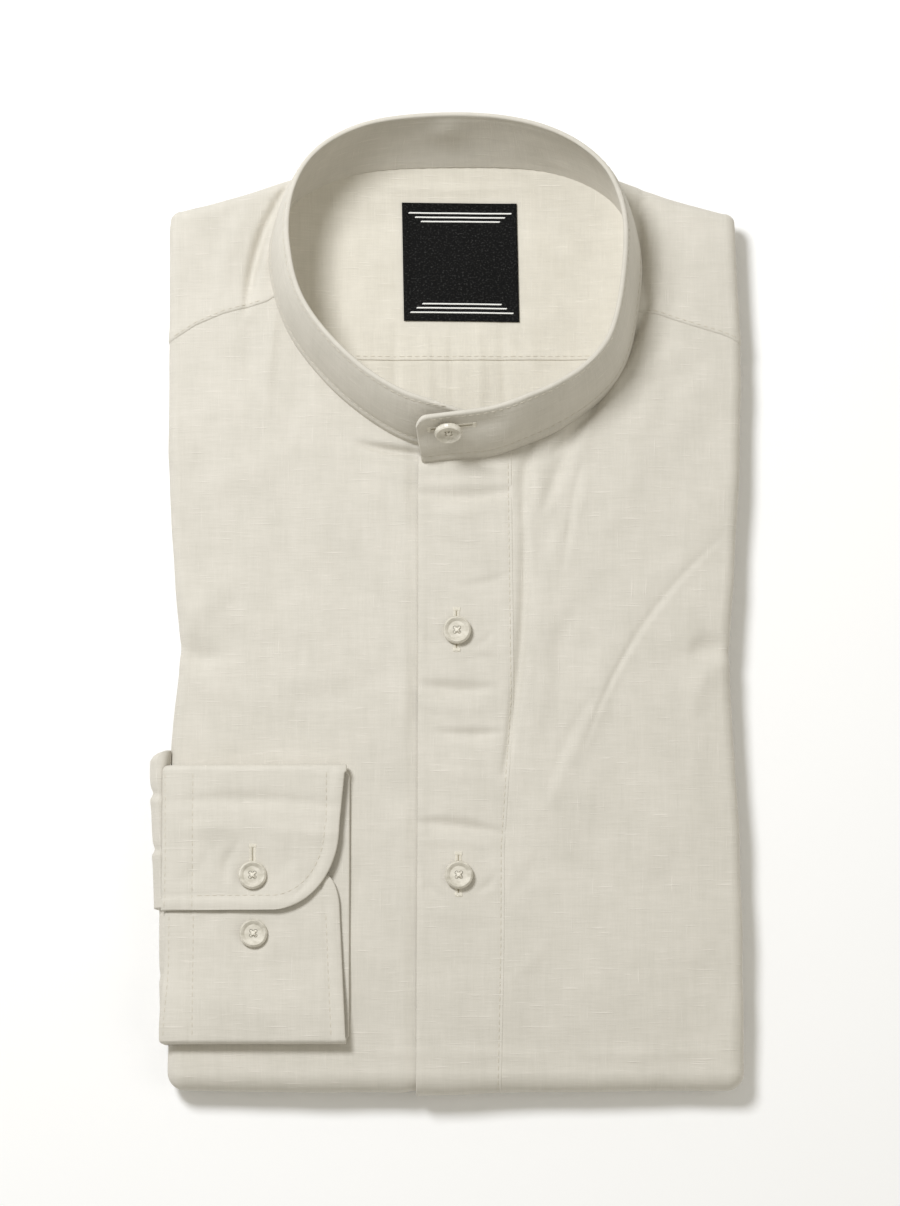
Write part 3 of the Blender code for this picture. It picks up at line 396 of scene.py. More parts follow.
def creased(x, y, creases):
    """Height that a table of creases adds at cloth places."""
    total = np.zeros(np.broadcast(x, y).shape)
    for from_x, from_y, to_x, to_y, bow, width, height, lip in creases:
        run_x, run_y = to_x - from_x, to_y - from_y
        length = math.hypot(run_x, run_y)
        share = ((x - from_x) * run_x + (y - from_y) * run_y) / length**2
        inside = np.clip(share, 0.0, 1.0)
        off = ((x - from_x) * run_y - (y - from_y) * run_x) / length
        off = (off - bow * 4.0 * inside * (1.0 - inside)) / (width * (0.65 + 0.35 * np.sin(np.pi * inside)))
        past = (share - inside) * length / width
        fade = np.sin(np.pi * np.clip(0.08 + 0.84 * inside, 0.0, 1.0)) ** 0.8 * np.exp(-1.5 * past**2)
        valley = np.exp(-2.0 * off**2)
        step = lip * np.tanh(1.6 * off) * np.exp(-0.35 * off**2)
        total += height * fade * (valley + step)
    return total


# ---------------------------------------------------------------- the form of the folded body


def side_roll(y):
    """Radius of the side folds, which grows into the one at the foot."""
    return mix(SIDE_ROLL, FOOT_ROLL, smooth(-150.0, -188.0, y))


def left_core(y):
    """x of the flat top's left edge, where the side fold starts."""
    return curve_along(BODY_SIDES, y, 1) + side_roll(y)


def right_core(y):
    return curve_along(BODY_SIDES, y, 2) - side_roll(y)


def top_core(x):
    return curve_along(SHOULDERS, x, 1) - SIDE_ROLL


def top_height(x, y):
    """Top of the folded stack, which is highest down its middle and falls to the back of the neck."""
    across = 1.0 - np.minimum(np.abs((x - CENTRE_X) / HALF_WIDTH), 1.0) ** 2.6
    back = 1.0 - 0.95 * smooth(120.0, 182.0, y)
    foot = 1.0 - 0.55 * smooth(-150.0, -190.0, y)
    return SIDE_HEIGHT + (MID_HEIGHT - SIDE_HEIGHT) * across * back * foot


def nearest_flat(x, y):
    """The nearest place that isn't on a fold."""
    core_y = np.maximum(y, FOOT_CORE)
    core_x = np.clip(x, left_core(core_y), right_core(core_y))
    core_y = np.minimum(core_y, top_core(core_x))
    core_x = np.clip(core_x, left_core(core_y), right_core(core_y))
    return core_x, core_y


def lay(x, y, above=0.0):
    """Where cloth places lie, above the body's form: flat on top, then round and under its edge."""
    x, y, above = np.broadcast_arrays(np.asarray(x, float), np.asarray(y, float), above)
    core_x, core_y = nearest_flat(x, y)
    over_x, over_y = x - core_x, y - core_y
    over = np.hypot(over_x, over_y)
    safe = np.maximum(over, 1e-9)
    out_x, out_y = over_x / safe, over_y / safe
    height = top_height(core_x, core_y)
    foot_share = np.where(out_y < 0, out_y**2, 0.0)
    roll = mix(side_roll(core_y), (height - FOOT_LIFT) / 2, foot_share)
    angle = np.minimum(over / roll, math.pi)
    reach = (roll + above) * np.sin(angle) - np.maximum(over - math.pi * roll, 0.0)
    z = height - roll + (roll + above) * np.cos(angle)
    return np.stack([core_x + out_x * reach, core_y + out_y * reach, z], axis=-1)


def body_relief(x, y):
    """The body's swells, ripples and creases, calm where the cloth is folded under."""
    swell = 0.55 * ripple(x, y, 74.0, 3.1) + 0.75 * ripple(x, y, 27.0, 8.4)
    small = 0.20 * ripple(x, y, 10.5, 5.2)
    core_x, core_y = nearest_flat(x, y)
    calm = 1.0 - 0.7 * smooth(4.0, 16.0, np.hypot(x - core_x, y - core_y))
    return (swell + small + CREASE_DEPTH * creased(x, y, BODY_CREASES)) * calm


# ---------------------------------------------------------------- meshes


def linear(hex_colour):
    """An sRGB hex colour as linear RGBA."""
    parts = [int(hex_colour[k : k + 2], 16) / 255 for k in (1, 3, 5)]
    return (*[p / 12.92 if p <= 0.04045 else ((p + 0.055) / 1.055) ** 2.4 for p in parts], 1.0)


def put(name, data):
    """An object with this data, in the scene."""
    made = bpy.data.objects.new(name, data)
    bpy.context.scene.collection.objects.link(made)
    return made


def mesh_object(name, points, faces, look, weave):
    """An object from points in the layout, riding on the shirt, with each point's place in its cloth."""
    points = np.asarray(points, float).reshape(-1, 3)
    data = bpy.data.meshes.new(name)
    data.from_pydata(((points + STAND) * MM).tolist(), [], faces)
    data.update()
    places = data.attributes.new("weave", "FLOAT_VECTOR", "POINT")
    places.data.foreach_set("vector", np.asarray(weave, np.float32).ravel())
    data.materials.append(look)
    data.shade_smooth()
    made = put(name, data)
    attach(made, "root")
    return made


def tube_faces(rings, around):
    """Faces round a row of closed rings of points, with one over each end."""
    index = np.arange(rings * around).reshape(rings, around)
    ahead = np.roll(index, -1, axis=1)
    walls = np.stack([index[:-1], ahead[:-1], ahead[1:], index[1:]], axis=-1).reshape(-1, 4)
    return walls.tolist() + [index[0, ::-1].tolist(), index[-1].tolist()]


def run_along(points):
    """How far each point is from the first one, along the first axis of a line or a grid."""
    steps = np.linalg.norm(np.diff(points, axis=0), axis=-1)
    return np.concatenate([np.zeros_like(steps[:1]), np.cumsum(steps, axis=0)])


def edge_distances(x, y):
    """How far each place of a grid is in from the grid's four edges."""
    places = np.stack(np.broadcast_arrays(x, y), axis=-1)
    up, across = run_along(places), run_along(places.swapaxes(0, 1)).T
    return np.minimum.reduce([across, across[:, -1:] - across, up, up[-1:] - up])


def shell(name, look, over, under, weave_u, weave_v, shift=(0.0, 0.0)):
    """A closed wall of cloth between two grids of points."""
    rows, columns = over.shape[:2]
    count = rows * columns
    index = np.arange(count).reshape(rows, columns)
    quads = np.stack([index[:-1, :-1], index[:-1, 1:], index[1:, 1:], index[1:, :-1]], axis=-1)
    quads = quads.reshape(-1, 4)
    rim = np.concatenate([index[0, :-1], index[:-1, -1], index[-1, :0:-1], index[:0:-1, 0]])
    ahead = np.roll(rim, -1)
    walls = np.stack([ahead, rim, rim + count, ahead + count], axis=-1)
    faces = np.concatenate([quads, quads[:, ::-1] + count, walls])
    points = np.concatenate([over.reshape(-1, 3), under.reshape(-1, 3)])
    a, b, c = (points[faces[:, k]] for k in range(3))
    if np.einsum("ij,ij->i", a, np.cross(b, c)).sum() < 0:
        faces = faces[:, ::-1]
    u, v = np.broadcast_arrays(weave_u, weave_v)
    weave = np.stack([u + shift[0], v + shift[1], np.zeros_like(u)], axis=-1).reshape(-1, 3)
    return mesh_object(name, points, faces.tolist(), look, np.concatenate([weave, weave]))


def laid_shell(name, look, x, y, top, thick, shift=(0.0, 0.0)):
    """A wall on the body's form, its outer face at a height above it, with round edges."""
    half = rounded(edge_distances(x, y), thick / 2)
    middle = top - thick / 2
    return shell(name, look, lay(x, y, middle + half), lay(x, y, middle - half), x, y, shift)


# ---------------------------------------------------------------- fronts, placket and yoke


def seam_fall(past):
    """How far a yoke seam has dropped where it is past the side fold."""
    return SEAM_FALL * (1.0 - np.exp(-np.maximum(past, 0.0) / 6.5))


def below_seam(past):
    """The dip of a cloth whose edge runs on below a seam, at a distance past the seam."""
    return -0.95 * smooth(0.15, 1.3, past)


def below_foot(tuck, step, edge):
    """Cloth y of the rows round the fold at the foot and on under it, from the lowest up."""
    return (FOOT_CORE - graded(math.pi * FOOT_ROLL + tuck, step, edge)[:0:-1])[:, None]


def front_places(side_core, inner, seam, seam_x, neck_shares):
    """Cloth places of a front: columns in from its side fold and rows up from its foot.

    Its top follows the yoke's seam as far as seam_x and then the band. The last rows run on below the
    yoke, and the third value is how far they dip there.
    """
    side, middle = side_core(YOKE_SIDE_Y), inner(NECK_FOOT_Y)
    outward, width = np.sign(side - seam_x), abs(middle - side)
    shares = np.unique(np.append(graded(width, 1.15, 0.4), abs(seam_x - side))) / width
    asides = graded(SIDE_REACH, 1.2, 0.4)[:0:-1] * outward
    share = np.concatenate([np.zeros(len(asides)), shares])[None, :]
    aside = np.concatenate([asides, np.zeros(len(shares))])[None, :]
    top_x = mix(side, middle, share)
    on_yoke = (top_x - seam_x) * outward
    top_y = np.where(on_yoke >= 0.0, along(seam, top_x), neckline(top_x, *neck_shares))
    top_y = top_y - seam_fall(np.abs(aside))
    foot_y = below_foot(TUCK_FOOT, 1.3, 0.4) + np.zeros_like(share)
    foot_x = mix(side_core(FOOT), inner(FOOT), share) + aside + np.zeros_like(foot_y)
    up = (graded(FRONT_LENGTH, 1.2, 0.4) / FRONT_LENGTH)[:, None]
    y = mix(FOOT_CORE, top_y, up)
    shift = top_x - mix(side_core(top_y), inner(top_y), share)
    x = mix(side_core(y), inner(y), share) + shift * up + aside
    past = np.array([0.15, 0.4, 0.7, 1.0])[:, None] * mix(UNDER, 0.9, smooth(6.0, 0.0, on_yoke))
    x = np.concatenate([foot_x, x, x[-1:] + 0.0 * past])
    y = np.concatenate([foot_y, y, top_y + past])
    return x, y, below_seam(y - top_y) * smooth(-2.0, 4.0, (x - seam_x) * outward)


def neckline(x, start, end):
    """The band's base line as y at x, between two shares of its length."""
    line = collar_row(np.linspace(start, end, 200))
    order = np.argsort(line[:, 0])
    return np.interp(x, line[order, 0], line[order, 1])


def make_front_right(look):
    """The wearer's right front. Its inner edge runs on under the placket, which presses it down."""

    def inner(y):
        return RIGHT_FRONT_EDGE + 0.0 * y

    neck_shares = (0.03, NECK_RIGHT_SHARE)
    x, y, dip = front_places(left_core, inner, YOKE_SEAM_RIGHT, YOKE_SEAM_RIGHT[-1][0], neck_shares)
    uneven = mix(0.55, 1.25, 0.5 + ripple(0.0 * x, y, 30.0, 15.0))
    trough = -0.85 * smooth(-17.5, -13.0, x) * uneven
    edge = along(PLACKET, y, 1)
    top = body_relief(x, y) + trough - 0.95 * smooth(edge + 0.5, edge + 1.7, x) + dip
    under_cuff = smooth(-34.0, -42.0, x) * smooth(-60.0, -72.0, y) * smooth(-186.0, -178.0, y)
    top = mix(top, -0.15, under_cuff)
    made = laid_shell("front_right_cloth", look, x, y, top, CLOTH)
    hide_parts("front_right")


def make_front_left(look):
    """The wearer's left front, sewn to the placket, which lifts its edge a little."""

    def inner(y):
        return along(PLACKET, y, 2) - UNDER

    neck_shares = (NECK_LEFT_SHARE, 0.97)
    x, y, dip = front_places(right_core, inner, YOKE_SEAM_LEFT, YOKE_SEAM_LEFT[0][0], neck_shares)
    top = body_relief(x, y) + below_seam(along(PLACKET, y, 2) - 0.6 - x) + dip
    made = laid_shell("front_left_cloth", look, x, y, top, CLOTH, (37.0, 11.0))
    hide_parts("front_left")


def beside_buttons(x, y, buttons):
    """1 away from the buttons, falling to 0 below each one, where the cloth is held level."""
    calm = 1.0
    for button_x, button_y in buttons:
        calm = calm * (1.0 - np.exp(-(((x - button_x) ** 2 + (y - button_y) ** 2) / 8.0**2)))
    return calm


def placket_top(x, y):
    """Height of the placket's face over the body: level at its fold and low at its stitched edge."""
    left, right = along(PLACKET, y, 1), along(PLACKET, y, 2)
    share = (x - left) / (right - left)
    face = mix(PLACKET_THICK - PLACKET_SINK, 0.22, smooth(0.35, 0.97, share))
    seam = -0.20 * ridge(x, right - PLACKET_SEAM_IN, 0.8)
    roll = 0.18 * ridge(x, left + 2.2, 1.6)
    relief = body_relief(x, y) * mix(0.7, 1.0, smooth(0.6, 1.0, share)) + creased(x, y, PLACKET_CREASES)
    return face + seam + roll + relief * beside_buttons(x, y, FRONT_BUTTONS)


def make_placket(look):
    """The strip down the front's edge, folded on its left and stitched down on its right."""
    share = (graded(PLACKET_WIDTH, 0.75, 0.8) / PLACKET_WIDTH)[None, :]

    def across(y):
        return mix(along(PLACKET, y, 1), along(PLACKET, y, 2), share)

    top_y = neckline(across(NECK_FOOT_Y), NECK_LEFT_SHARE, 1.0) - GAP
    low = below_foot(TUCK_FOOT / 3, 1.2, 0.5) + 0.0 * share
    up = (graded(PLACKET_LENGTH, 1.0, 0.5) / PLACKET_LENGTH)[:, None]
    y = np.concatenate([low, mix(FOOT_CORE, top_y, up)])
    x = across(y)
    half = rounded(edge_distances(x, y), CLOTH / 2) * PLACKET_THICK / CLOTH
    middle = placket_top(x, y) - PLACKET_THICK / 2
    over, under = lay(x, y, middle + half), lay(x, y, middle - half)
    made = shell("placket_cloth", look, over, under, x, y, (61.0, 7.0))
    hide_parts("placket")


def make_yoke(look):
    """The outer yoke, from the band out over both shoulders and round their folds."""
    left, right = left_core(YOKE_SIDE_Y), right_core(YOKE_SIDE_Y)
    corner_x = np.array((left_core(SHOULDER_Y), right_core(SHOULDER_Y)))
    corner_y = top_core(corner_x)
    left_y = np.linspace(along(YOKE_SEAM_RIGHT, left) - SEAM_FALL, corner_y[0] - 1.0, 44)
    right_y = np.linspace(corner_y[1] - 1.0, along(YOKE_SEAM_LEFT, right) - SEAM_FALL, 44)
    back_x = np.linspace(*SHOULDER_ENDS, 150)
    arc = np.radians(np.linspace(168.0, 102.0, 22))
    parts = (
        (left_core(left_y) - SIDE_REACH, left_y),
        (corner_x[0] + SIDE_REACH * np.cos(arc), corner_y[0] + SIDE_REACH * np.sin(arc)),
        (back_x, top_core(back_x) + SIDE_REACH),
        (corner_x[1] - SIDE_REACH * np.cos(arc[::-1]), corner_y[1] + SIDE_REACH * np.sin(arc[::-1])),
        (right_core(right_y) + SIDE_REACH, right_y),
    )
    outer = np.concatenate([np.stack(part, axis=-1) for part in parts])
    share = mix(NECK_RIGHT_SHARE, NECK_LEFT_SHARE, np.linspace(0.0, 1.0, len(outer)))
    neck = collar_row(share)[:, :2] - band_outward(share)[:, :2] * 0.8
    out = graded(1.0, 0.018, 0.006)[:, None]
    x, y = np.moveaxis(mix(neck[:, None], outer[:, None], out), -1, 0)
    rows = np.arange(len(outer))[:, None]
    right_seam = along(YOKE_SEAM_RIGHT, np.maximum(x[0], left)) - seam_fall(left - x[0])
    left_seam = along(YOKE_SEAM_LEFT, np.minimum(x[-1], right)) - seam_fall(x[-1] - right)
    y = y + (right_seam - y[0]) * smooth(SEAM_FADE, 0.0, rows)
    y = y + (left_seam - y[-1]) * smooth(SEAM_FADE, 0.0, rows[::-1])
    from_seam = np.minimum(np.hypot(x - x[0], y - y[0]), np.hypot(x - x[-1], y - y[-1]))
    top = body_relief(x, y) + SEAM_RISE * smooth(8.0, 1.5, from_seam)
    made = laid_shell("yoke_cloth", look, x, y, top, CLOTH, (13.0, 83.0))
    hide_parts("yoke")


# ---------------------------------------------------------------- inside the neck


def from_band(x, y):
    """How far places inside the neck are from the band's base."""
    base = collar_row(np.linspace(0.0, 1.0, 160))[:, :2]
    return np.hypot(x[..., None] - base[:, 0], y[..., None] - base[:, 1]).min(axis=-1)


def neck_height(x, y):
    """Height of the inner yoke and the back, which rise from the neck's floor to the band."""
    rise = np.clip(1.0 - from_band(x, y) / NECK_SLOPE, 0.0, 1.0) ** 1.7 * smooth(72.0, 98.0, y)
    below = mix(3.0, 0.3, smooth(105.0, 145.0, y))
    return mix(NECK_FLOOR, top_height(x, y) - below, rise)


def neck_relief(x, y):
    """The swells and pleats inside the neck, calm where the band holds the cloth."""
    calm = smooth(0.0, 7.0, from_band(x, y))
    swell = 0.45 * ripple(x, y, 34.0, 21.0) + 0.12 * ripple(x, y, 11.0, 25.0)
    return (swell + creased(x, y, NECK_CREASES)) * calm


def neck_shell(name, look, x, y, above, shift):
    """A panel inside the neck, its face raised by above."""
    z = neck_height(x, y) + neck_relief(x, y) + above
    half = rounded(edge_distances(x, y), CLOTH / 2)
    over, under = (np.stack([x, y, z - CLOTH / 2 + out], axis=-1) for out in (half, -half))
    return shell(name, look, over, under, x, y, shift)


def make_inner_yoke(look):
    """The yoke's inner layer, from its seam with the back up to the band."""
    across = np.linspace(0.0, 1.0, 170)
    share = mix(*INNER_YOKE_SHARES, across)
    rim = collar_row(share)[:, :2] - band_outward(share)[:, :2] * 0.6
    up = graded(1.0, 0.014, 0.006)[None, :]
    x = mix(mix(*INNER_SEAM_ENDS, across)[:, None], rim[:, :1], up)
    y = mix(INNER_SEAM, rim[:, 1:], up)
    raised = SEAM_RISE * smooth(6.0, 1.0, y - INNER_SEAM)
    made = neck_shell("inner_yoke_cloth", look, x, y, raised, (29.0, 41.0))
    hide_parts("inner_yoke")


def make_back(look):
    """What shows of the back below the yoke's seam. It runs on below the fronts."""
    low_y, low_left, low_right = BACK_REACH
    top_y = INNER_SEAM + UNDER
    down = (graded(top_y - low_y, 1.2, 0.4) / (top_y - low_y))[:, None]
    across = (graded(BACK_WIDTH, 1.2, 0.4) / BACK_WIDTH)[None, :]
    y = mix(top_y, low_y, down) + 0.0 * across
    x = mix(mix(INNER_SEAM_ENDS[0], low_left, down), mix(INNER_SEAM_ENDS[1], low_right, down), across)
    made = neck_shell("back_cloth", look, x, y, below_seam(y - INNER_SEAM), (97.0, 19.0))
    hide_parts("back")


LABEL_CORNERS = ((-17.4, 113.8), (29.2, 113.2), (28.2, 161.9), (-18.3, 162.3))  # from its lower left
LABEL_SIZE = 48.0
LABEL_HALF = 0.32  # half of its thickness
LABEL_LINES = (
    # share up the label, left share, right share
    (0.915, 0.060, 0.955),
    (0.880, 0.115, 0.900),
    (0.845, 0.165, 0.855),
    (0.145, 0.165, 0.845),
    (0.110, 0.115, 0.890),
    (0.072, 0.060, 0.945),
)
LABEL_STITCH = {"length": 1.1, "pitch": 0.74, "width": 0.62, "turn": 18.0}


def label_edge(across, up):
    """How far in a place on the label is, as a share of the label."""
    return np.minimum.reduce([across, 1.0 - across, up, 1.0 - up])


def label_place(across, up, above):
    """A point over the label: shares across and up it, and height over the inner yoke."""
    corners = np.array(LABEL_CORNERS)
    low = mix(corners[0], corners[1], across[..., None])
    high = mix(corners[3], corners[2], across[..., None])
    x, y = np.moveaxis(mix(low, high, up[..., None]), -1, 0)
    lift = 0.55 + 0.25 * ripple(x, y, 17.0, 31.0) * smooth(0.0, 0.1, label_edge(across, up))
    return np.stack([x, y, neck_height(x, y) + neck_relief(x, y) + lift + above], axis=-1)


def make_label(look, thread):
    """A black woven label with plain lines woven across its top and foot."""
    across, up = np.meshgrid(graded(1.0, 0.016, 0.008), graded(1.0, 0.016, 0.008))
    half = rounded(label_edge(across, up) * LABEL_SIZE, LABEL_HALF)
    fold = 0.12 * ridge(np.minimum(across, 1.0 - across), 0.03, 0.02)
    over, under = label_place(across, up, half + fold), label_place(across, up, -half)
    made = shell("neck_label_cloth", look, over, under, across * 47.0, up * 49.0)
    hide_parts("neck_label")
    for k, (at_up, left, right) in enumerate(LABEL_LINES):
        across = np.linspace(left, right, 90)
        up = np.full(90, at_up)
        line = label_place(across, up, 0.40)
        row = stitch_row(line, label_place(across, up, 1.40) - line, **LABEL_STITCH)
        threads(f"label_line_{k + 1}", thread, [row])


# ---------------------------------------------------------------- the collar band


def collar_row(share):
    """The collar table at shares of the band's length, on a smooth curve through its rows."""
    rows = np.array(COLLAR)
    place = np.asarray(share, float) * (len(rows) - 1)
    start = np.clip(place.astype(int), 0, len(rows) - 2)
    t = (place - start)[..., None]
    before = rows[np.maximum(start - 1, 0)]
    a, b = rows[start], rows[start + 1]
    after = rows[np.minimum(start + 2, len(rows) - 1)]
    cubic = (3 * a - before - 3 * b + after) * t**3
    return 0.5 * (2 * a + (b - before) * t + (2 * before - 5 * a + 4 * b - after) * t**2 + cubic)


def band_outward(share):
    """The level direction out of the neck."""
    run = collar_row(np.minimum(share + 0.004, 1.0)) - collar_row(np.maximum(share - 0.004, 0.0))
    out = np.stack([-run[..., 1], run[..., 0], np.zeros(run.shape[:-1])], axis=-1)
    return out / np.linalg.norm(out, axis=-1, keepdims=True)


def band_point(share, up, off):
    """A point on the band: along it, up it from 0 to 1, and off its middle surface."""
    share, up, off = np.broadcast_arrays(share, up, off)
    base_x, base_y, rim_x, rim_y, rise = np.moveaxis(collar_row(share), -1, 0)
    on_placket = PLACKET_THICK * smooth(0.84, 0.88, share)
    foot_z = top_height(base_x, base_y) + 2 * GAP + on_placket
    foot = np.stack([base_x, base_y, foot_z], axis=-1)
    lean = np.stack([rim_x, rim_y, foot_z + rise], axis=-1) - foot
    out = band_outward(share)
    across = (out * lean).sum(-1, keepdims=True) / (lean * lean).sum(-1, keepdims=True)
    face = out - lean * across
    face /= np.linalg.norm(face, axis=-1, keepdims=True)
    lift = OVERLAP_LIFT * (smooth(0.90, 0.95, share) - 1.0 + smooth(0.02, 0.08, share))
    swell = BAND_BULGE * np.sin(np.pi * up)
    return foot + lean * up[..., None] + face * (swell + off)[..., None] + out * lift[..., None]


UNDER_END_DIP = 0.16  # how much lower the under end is where it goes behind the over end
TIP_CURL = 0.5  # how far the lower corner of the over end curls out
WRINKLE_DEPTH = 1.5  # how much deeper the band's wrinkles are than their table's heights
BAND_WRINKLES = (
    # share along the band, share up it, width along, width up, height
    (0.140, 0.55, 0.020, 0.45, -0.35),
    (0.215, 0.45, 0.022, 0.50, 0.30),
    (0.305, 0.50, 0.018, 0.45, -0.30),
    (0.420, 0.40, 0.020, 0.40, 0.35),
    (0.495, 0.62, 0.012, 0.22, -0.75),
    (0.560, 0.45, 0.022, 0.45, -0.30),
    (0.655, 0.50, 0.020, 0.50, 0.30),
    (0.745, 0.45, 0.018, 0.45, -0.35),
    (0.815, 0.50, 0.022, 0.45, 0.35),
    (0.880, 0.40, 0.020, 0.45, -0.40),
    (0.925, 0.55, 0.016, 0.40, 0.30),
    (0.972, 0.62, 0.022, 0.30, -0.80),
    (0.994, 0.95, 0.012, 0.30, 0.30),
    (0.991, 0.66, 0.008, 0.16, -0.55),
    (0.990, 0.28, 0.010, 0.22, 0.45),
    (0.948, 0.74, 0.014, 0.14, -0.60),
    (0.935, 0.30, 0.020, 0.22, 0.40),
)


def band_relief(share, up):
    """Soft bends along the band, the dip that its button pulls and the curl of its over end's corner."""
    along_it, up_it = share * BAND_LENGTH, up * BAND_RISE
    total = 0.34 * ripple(along_it, up_it, 26.0, 44.0) + 0.14 * ripple(along_it, up_it, 9.0, 47.0)
    for at, at_up, width, width_up, height in BAND_WRINKLES:
        total = total + WRINKLE_DEPTH * height * ridge(share, at, width) * ridge(up, at_up, width_up)
    total = total * smooth(0.0, 0.18, up) * smooth(1.05, 0.85, up)
    return total + TIP_CURL * smooth(0.50, 0.02, up) * smooth(0.962, 0.992, share)


def band_seam(up):
    """The ridge of the seam allowance along the band's foot, and the trough of its stitching."""
    return 0.34 * ridge(up, 0.035, 0.035) - 0.22 * ridge(up, 0.125, 0.035)


def make_collar_band(look):
    """The band, standing round the neck and leaning back, its over end lapped on its under end."""
    ends = 1.0 - 0.015 * np.linspace(0.95, 0.0, 22) ** 1.6
    share = np.append(np.linspace(0.0, 0.985, 400), ends)[:, None]
    near_rim = 1.0 - 0.04 * np.array([0.02, 0.08, 0.2, 0.35])
    ups = np.sort(np.concatenate([np.linspace(-0.09, 1.0, 47), near_rim]))[None, :]
    rounding = 1.0 - np.sqrt(np.maximum(1.0 - smooth(0.984, 1.0, share) ** 2, 0.0))
    tip = 1.0 - 0.20 * rounding - UNDER_END_DIP * smooth(0.06, 0.0, share)
    uneven = 0.016 * ripple(share * BAND_LENGTH, 0.0, 24.0, 52.0) * smooth(0.4, 1.0, ups)
    up = ups * tip * (1.0 + uneven)
    from_end = np.minimum(share, 1.0 - share) * BAND_LENGTH
    from_rim = (1.0 - ups) * BAND_HEIGHT
    half = rounded(np.minimum(from_rim + 0.02, from_end + 0.1), BAND_THICK / 2)
    half = half * (1.0 - 0.12 * ridge(from_rim, 2.6, 1.0))
    bend = band_relief(share, up)
    over = band_point(share, up, bend + half + band_seam(up))
    under = band_point(share, up, bend - half)
    weave_u = share * BAND_LENGTH
    made = shell("collar_band_cloth", look, over, under, weave_u, up * BAND_HEIGHT, (5.0, 3.0))
    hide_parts("collar_band")


# ---------------------------------------------------------------- cuff and sleeve


def cuff_path():
    """The cuff's section from its over end, round its fold at the top and its foot, to its under end.

    Each row has y, height over the body, which way its outer face looks along y and up, its right
    edge, and 1 where it is on the over layer.
    """
    back, under, over = (low + CUFF_WALL / 2 for low in CUFF_LAYERS)
    across, deep = CUFF_ROUND
    corner_y = CUFF_OVER_END + deep
    top_y = CUFF_TOP - (over - back + CUFF_WALL) / 2
    foot_y = CUFF_FOOT + (under - back + CUFF_WALL) / 2

    def fold(centre_y, high, turns, right):
        turn, radius = np.radians(turns), (high - back) / 2
        c, s = np.cos(turn), np.sin(turn)
        return (centre_y + radius * c, (high + back) / 2 + radius * s, c, s, right, 0.0)

    turn = np.radians(np.linspace(90.0, 0.0, 30))
    over_y = np.linspace(corner_y, top_y, 22)[1:-1]
    back_y = np.linspace(top_y, foot_y, 60)[1:-1]
    under_y = np.linspace(foot_y, CUFF_OVER_END, 46)[1:]
    end_y = np.linspace(CUFF_OVER_END, CUFF_UNDER_END, 12)[1:]
    end_share = (end_y - CUFF_OVER_END) / (CUFF_UNDER_END - CUFF_OVER_END)
    end_right = CUFF_UNDER_RIGHTS[1] - 7.0 * (1.0 - np.sqrt(1.0 - 0.9 * end_share**2))
    corner_right = CUFF_OVER_RIGHTS[0] - across * (1.0 - np.cos(turn))
    parts = (
        (corner_y - deep * np.sin(turn), over, 0.0, 1.0, corner_right, 1.0),
        (over_y, over, 0.0, 1.0, mix(*CUFF_OVER_RIGHTS, (over_y - corner_y) / 25.0), 1.0),
        fold(top_y, over, np.linspace(90.0, -90.0, 12), CUFF_FOLD_RIGHTS[0]),
        (back_y, back, 0.0, -1.0, CUFF_BACK_RIGHT, 0.0),
        fold(foot_y, under, np.linspace(-90.0, -270.0, 10), CUFF_FOLD_RIGHTS[1]),
        (under_y, under, 0.0, 1.0, mix(*CUFF_UNDER_RIGHTS, (under_y - foot_y) / 51.0), 0.0),
        (end_y, under, 0.0, 1.0, end_right, 0.0),
    )
    return np.concatenate([np.stack(np.broadcast_arrays(*part), axis=-1) for part in parts])


def cuff_welt(x, y, right, over_layer):
    """The turned edge of the cuff: a full welt inside its end, and the troughs of its stitching."""
    from_end = np.where(over_layer > 0.5, y - CUFF_OVER_END, np.inf)
    distance = np.minimum(right - x, from_end)
    edge = 0.34 * ridge(distance, 2.7, 1.9) - 0.30 * ridge(distance, CUFF_STITCH_IN, 0.8)
    return edge + 0.18 * ridge(x - CUFF_SEAM, 4.5, 2.6) - 0.26 * ridge(x - CUFF_SEAM, CUFF_ROWS[1], 0.8)


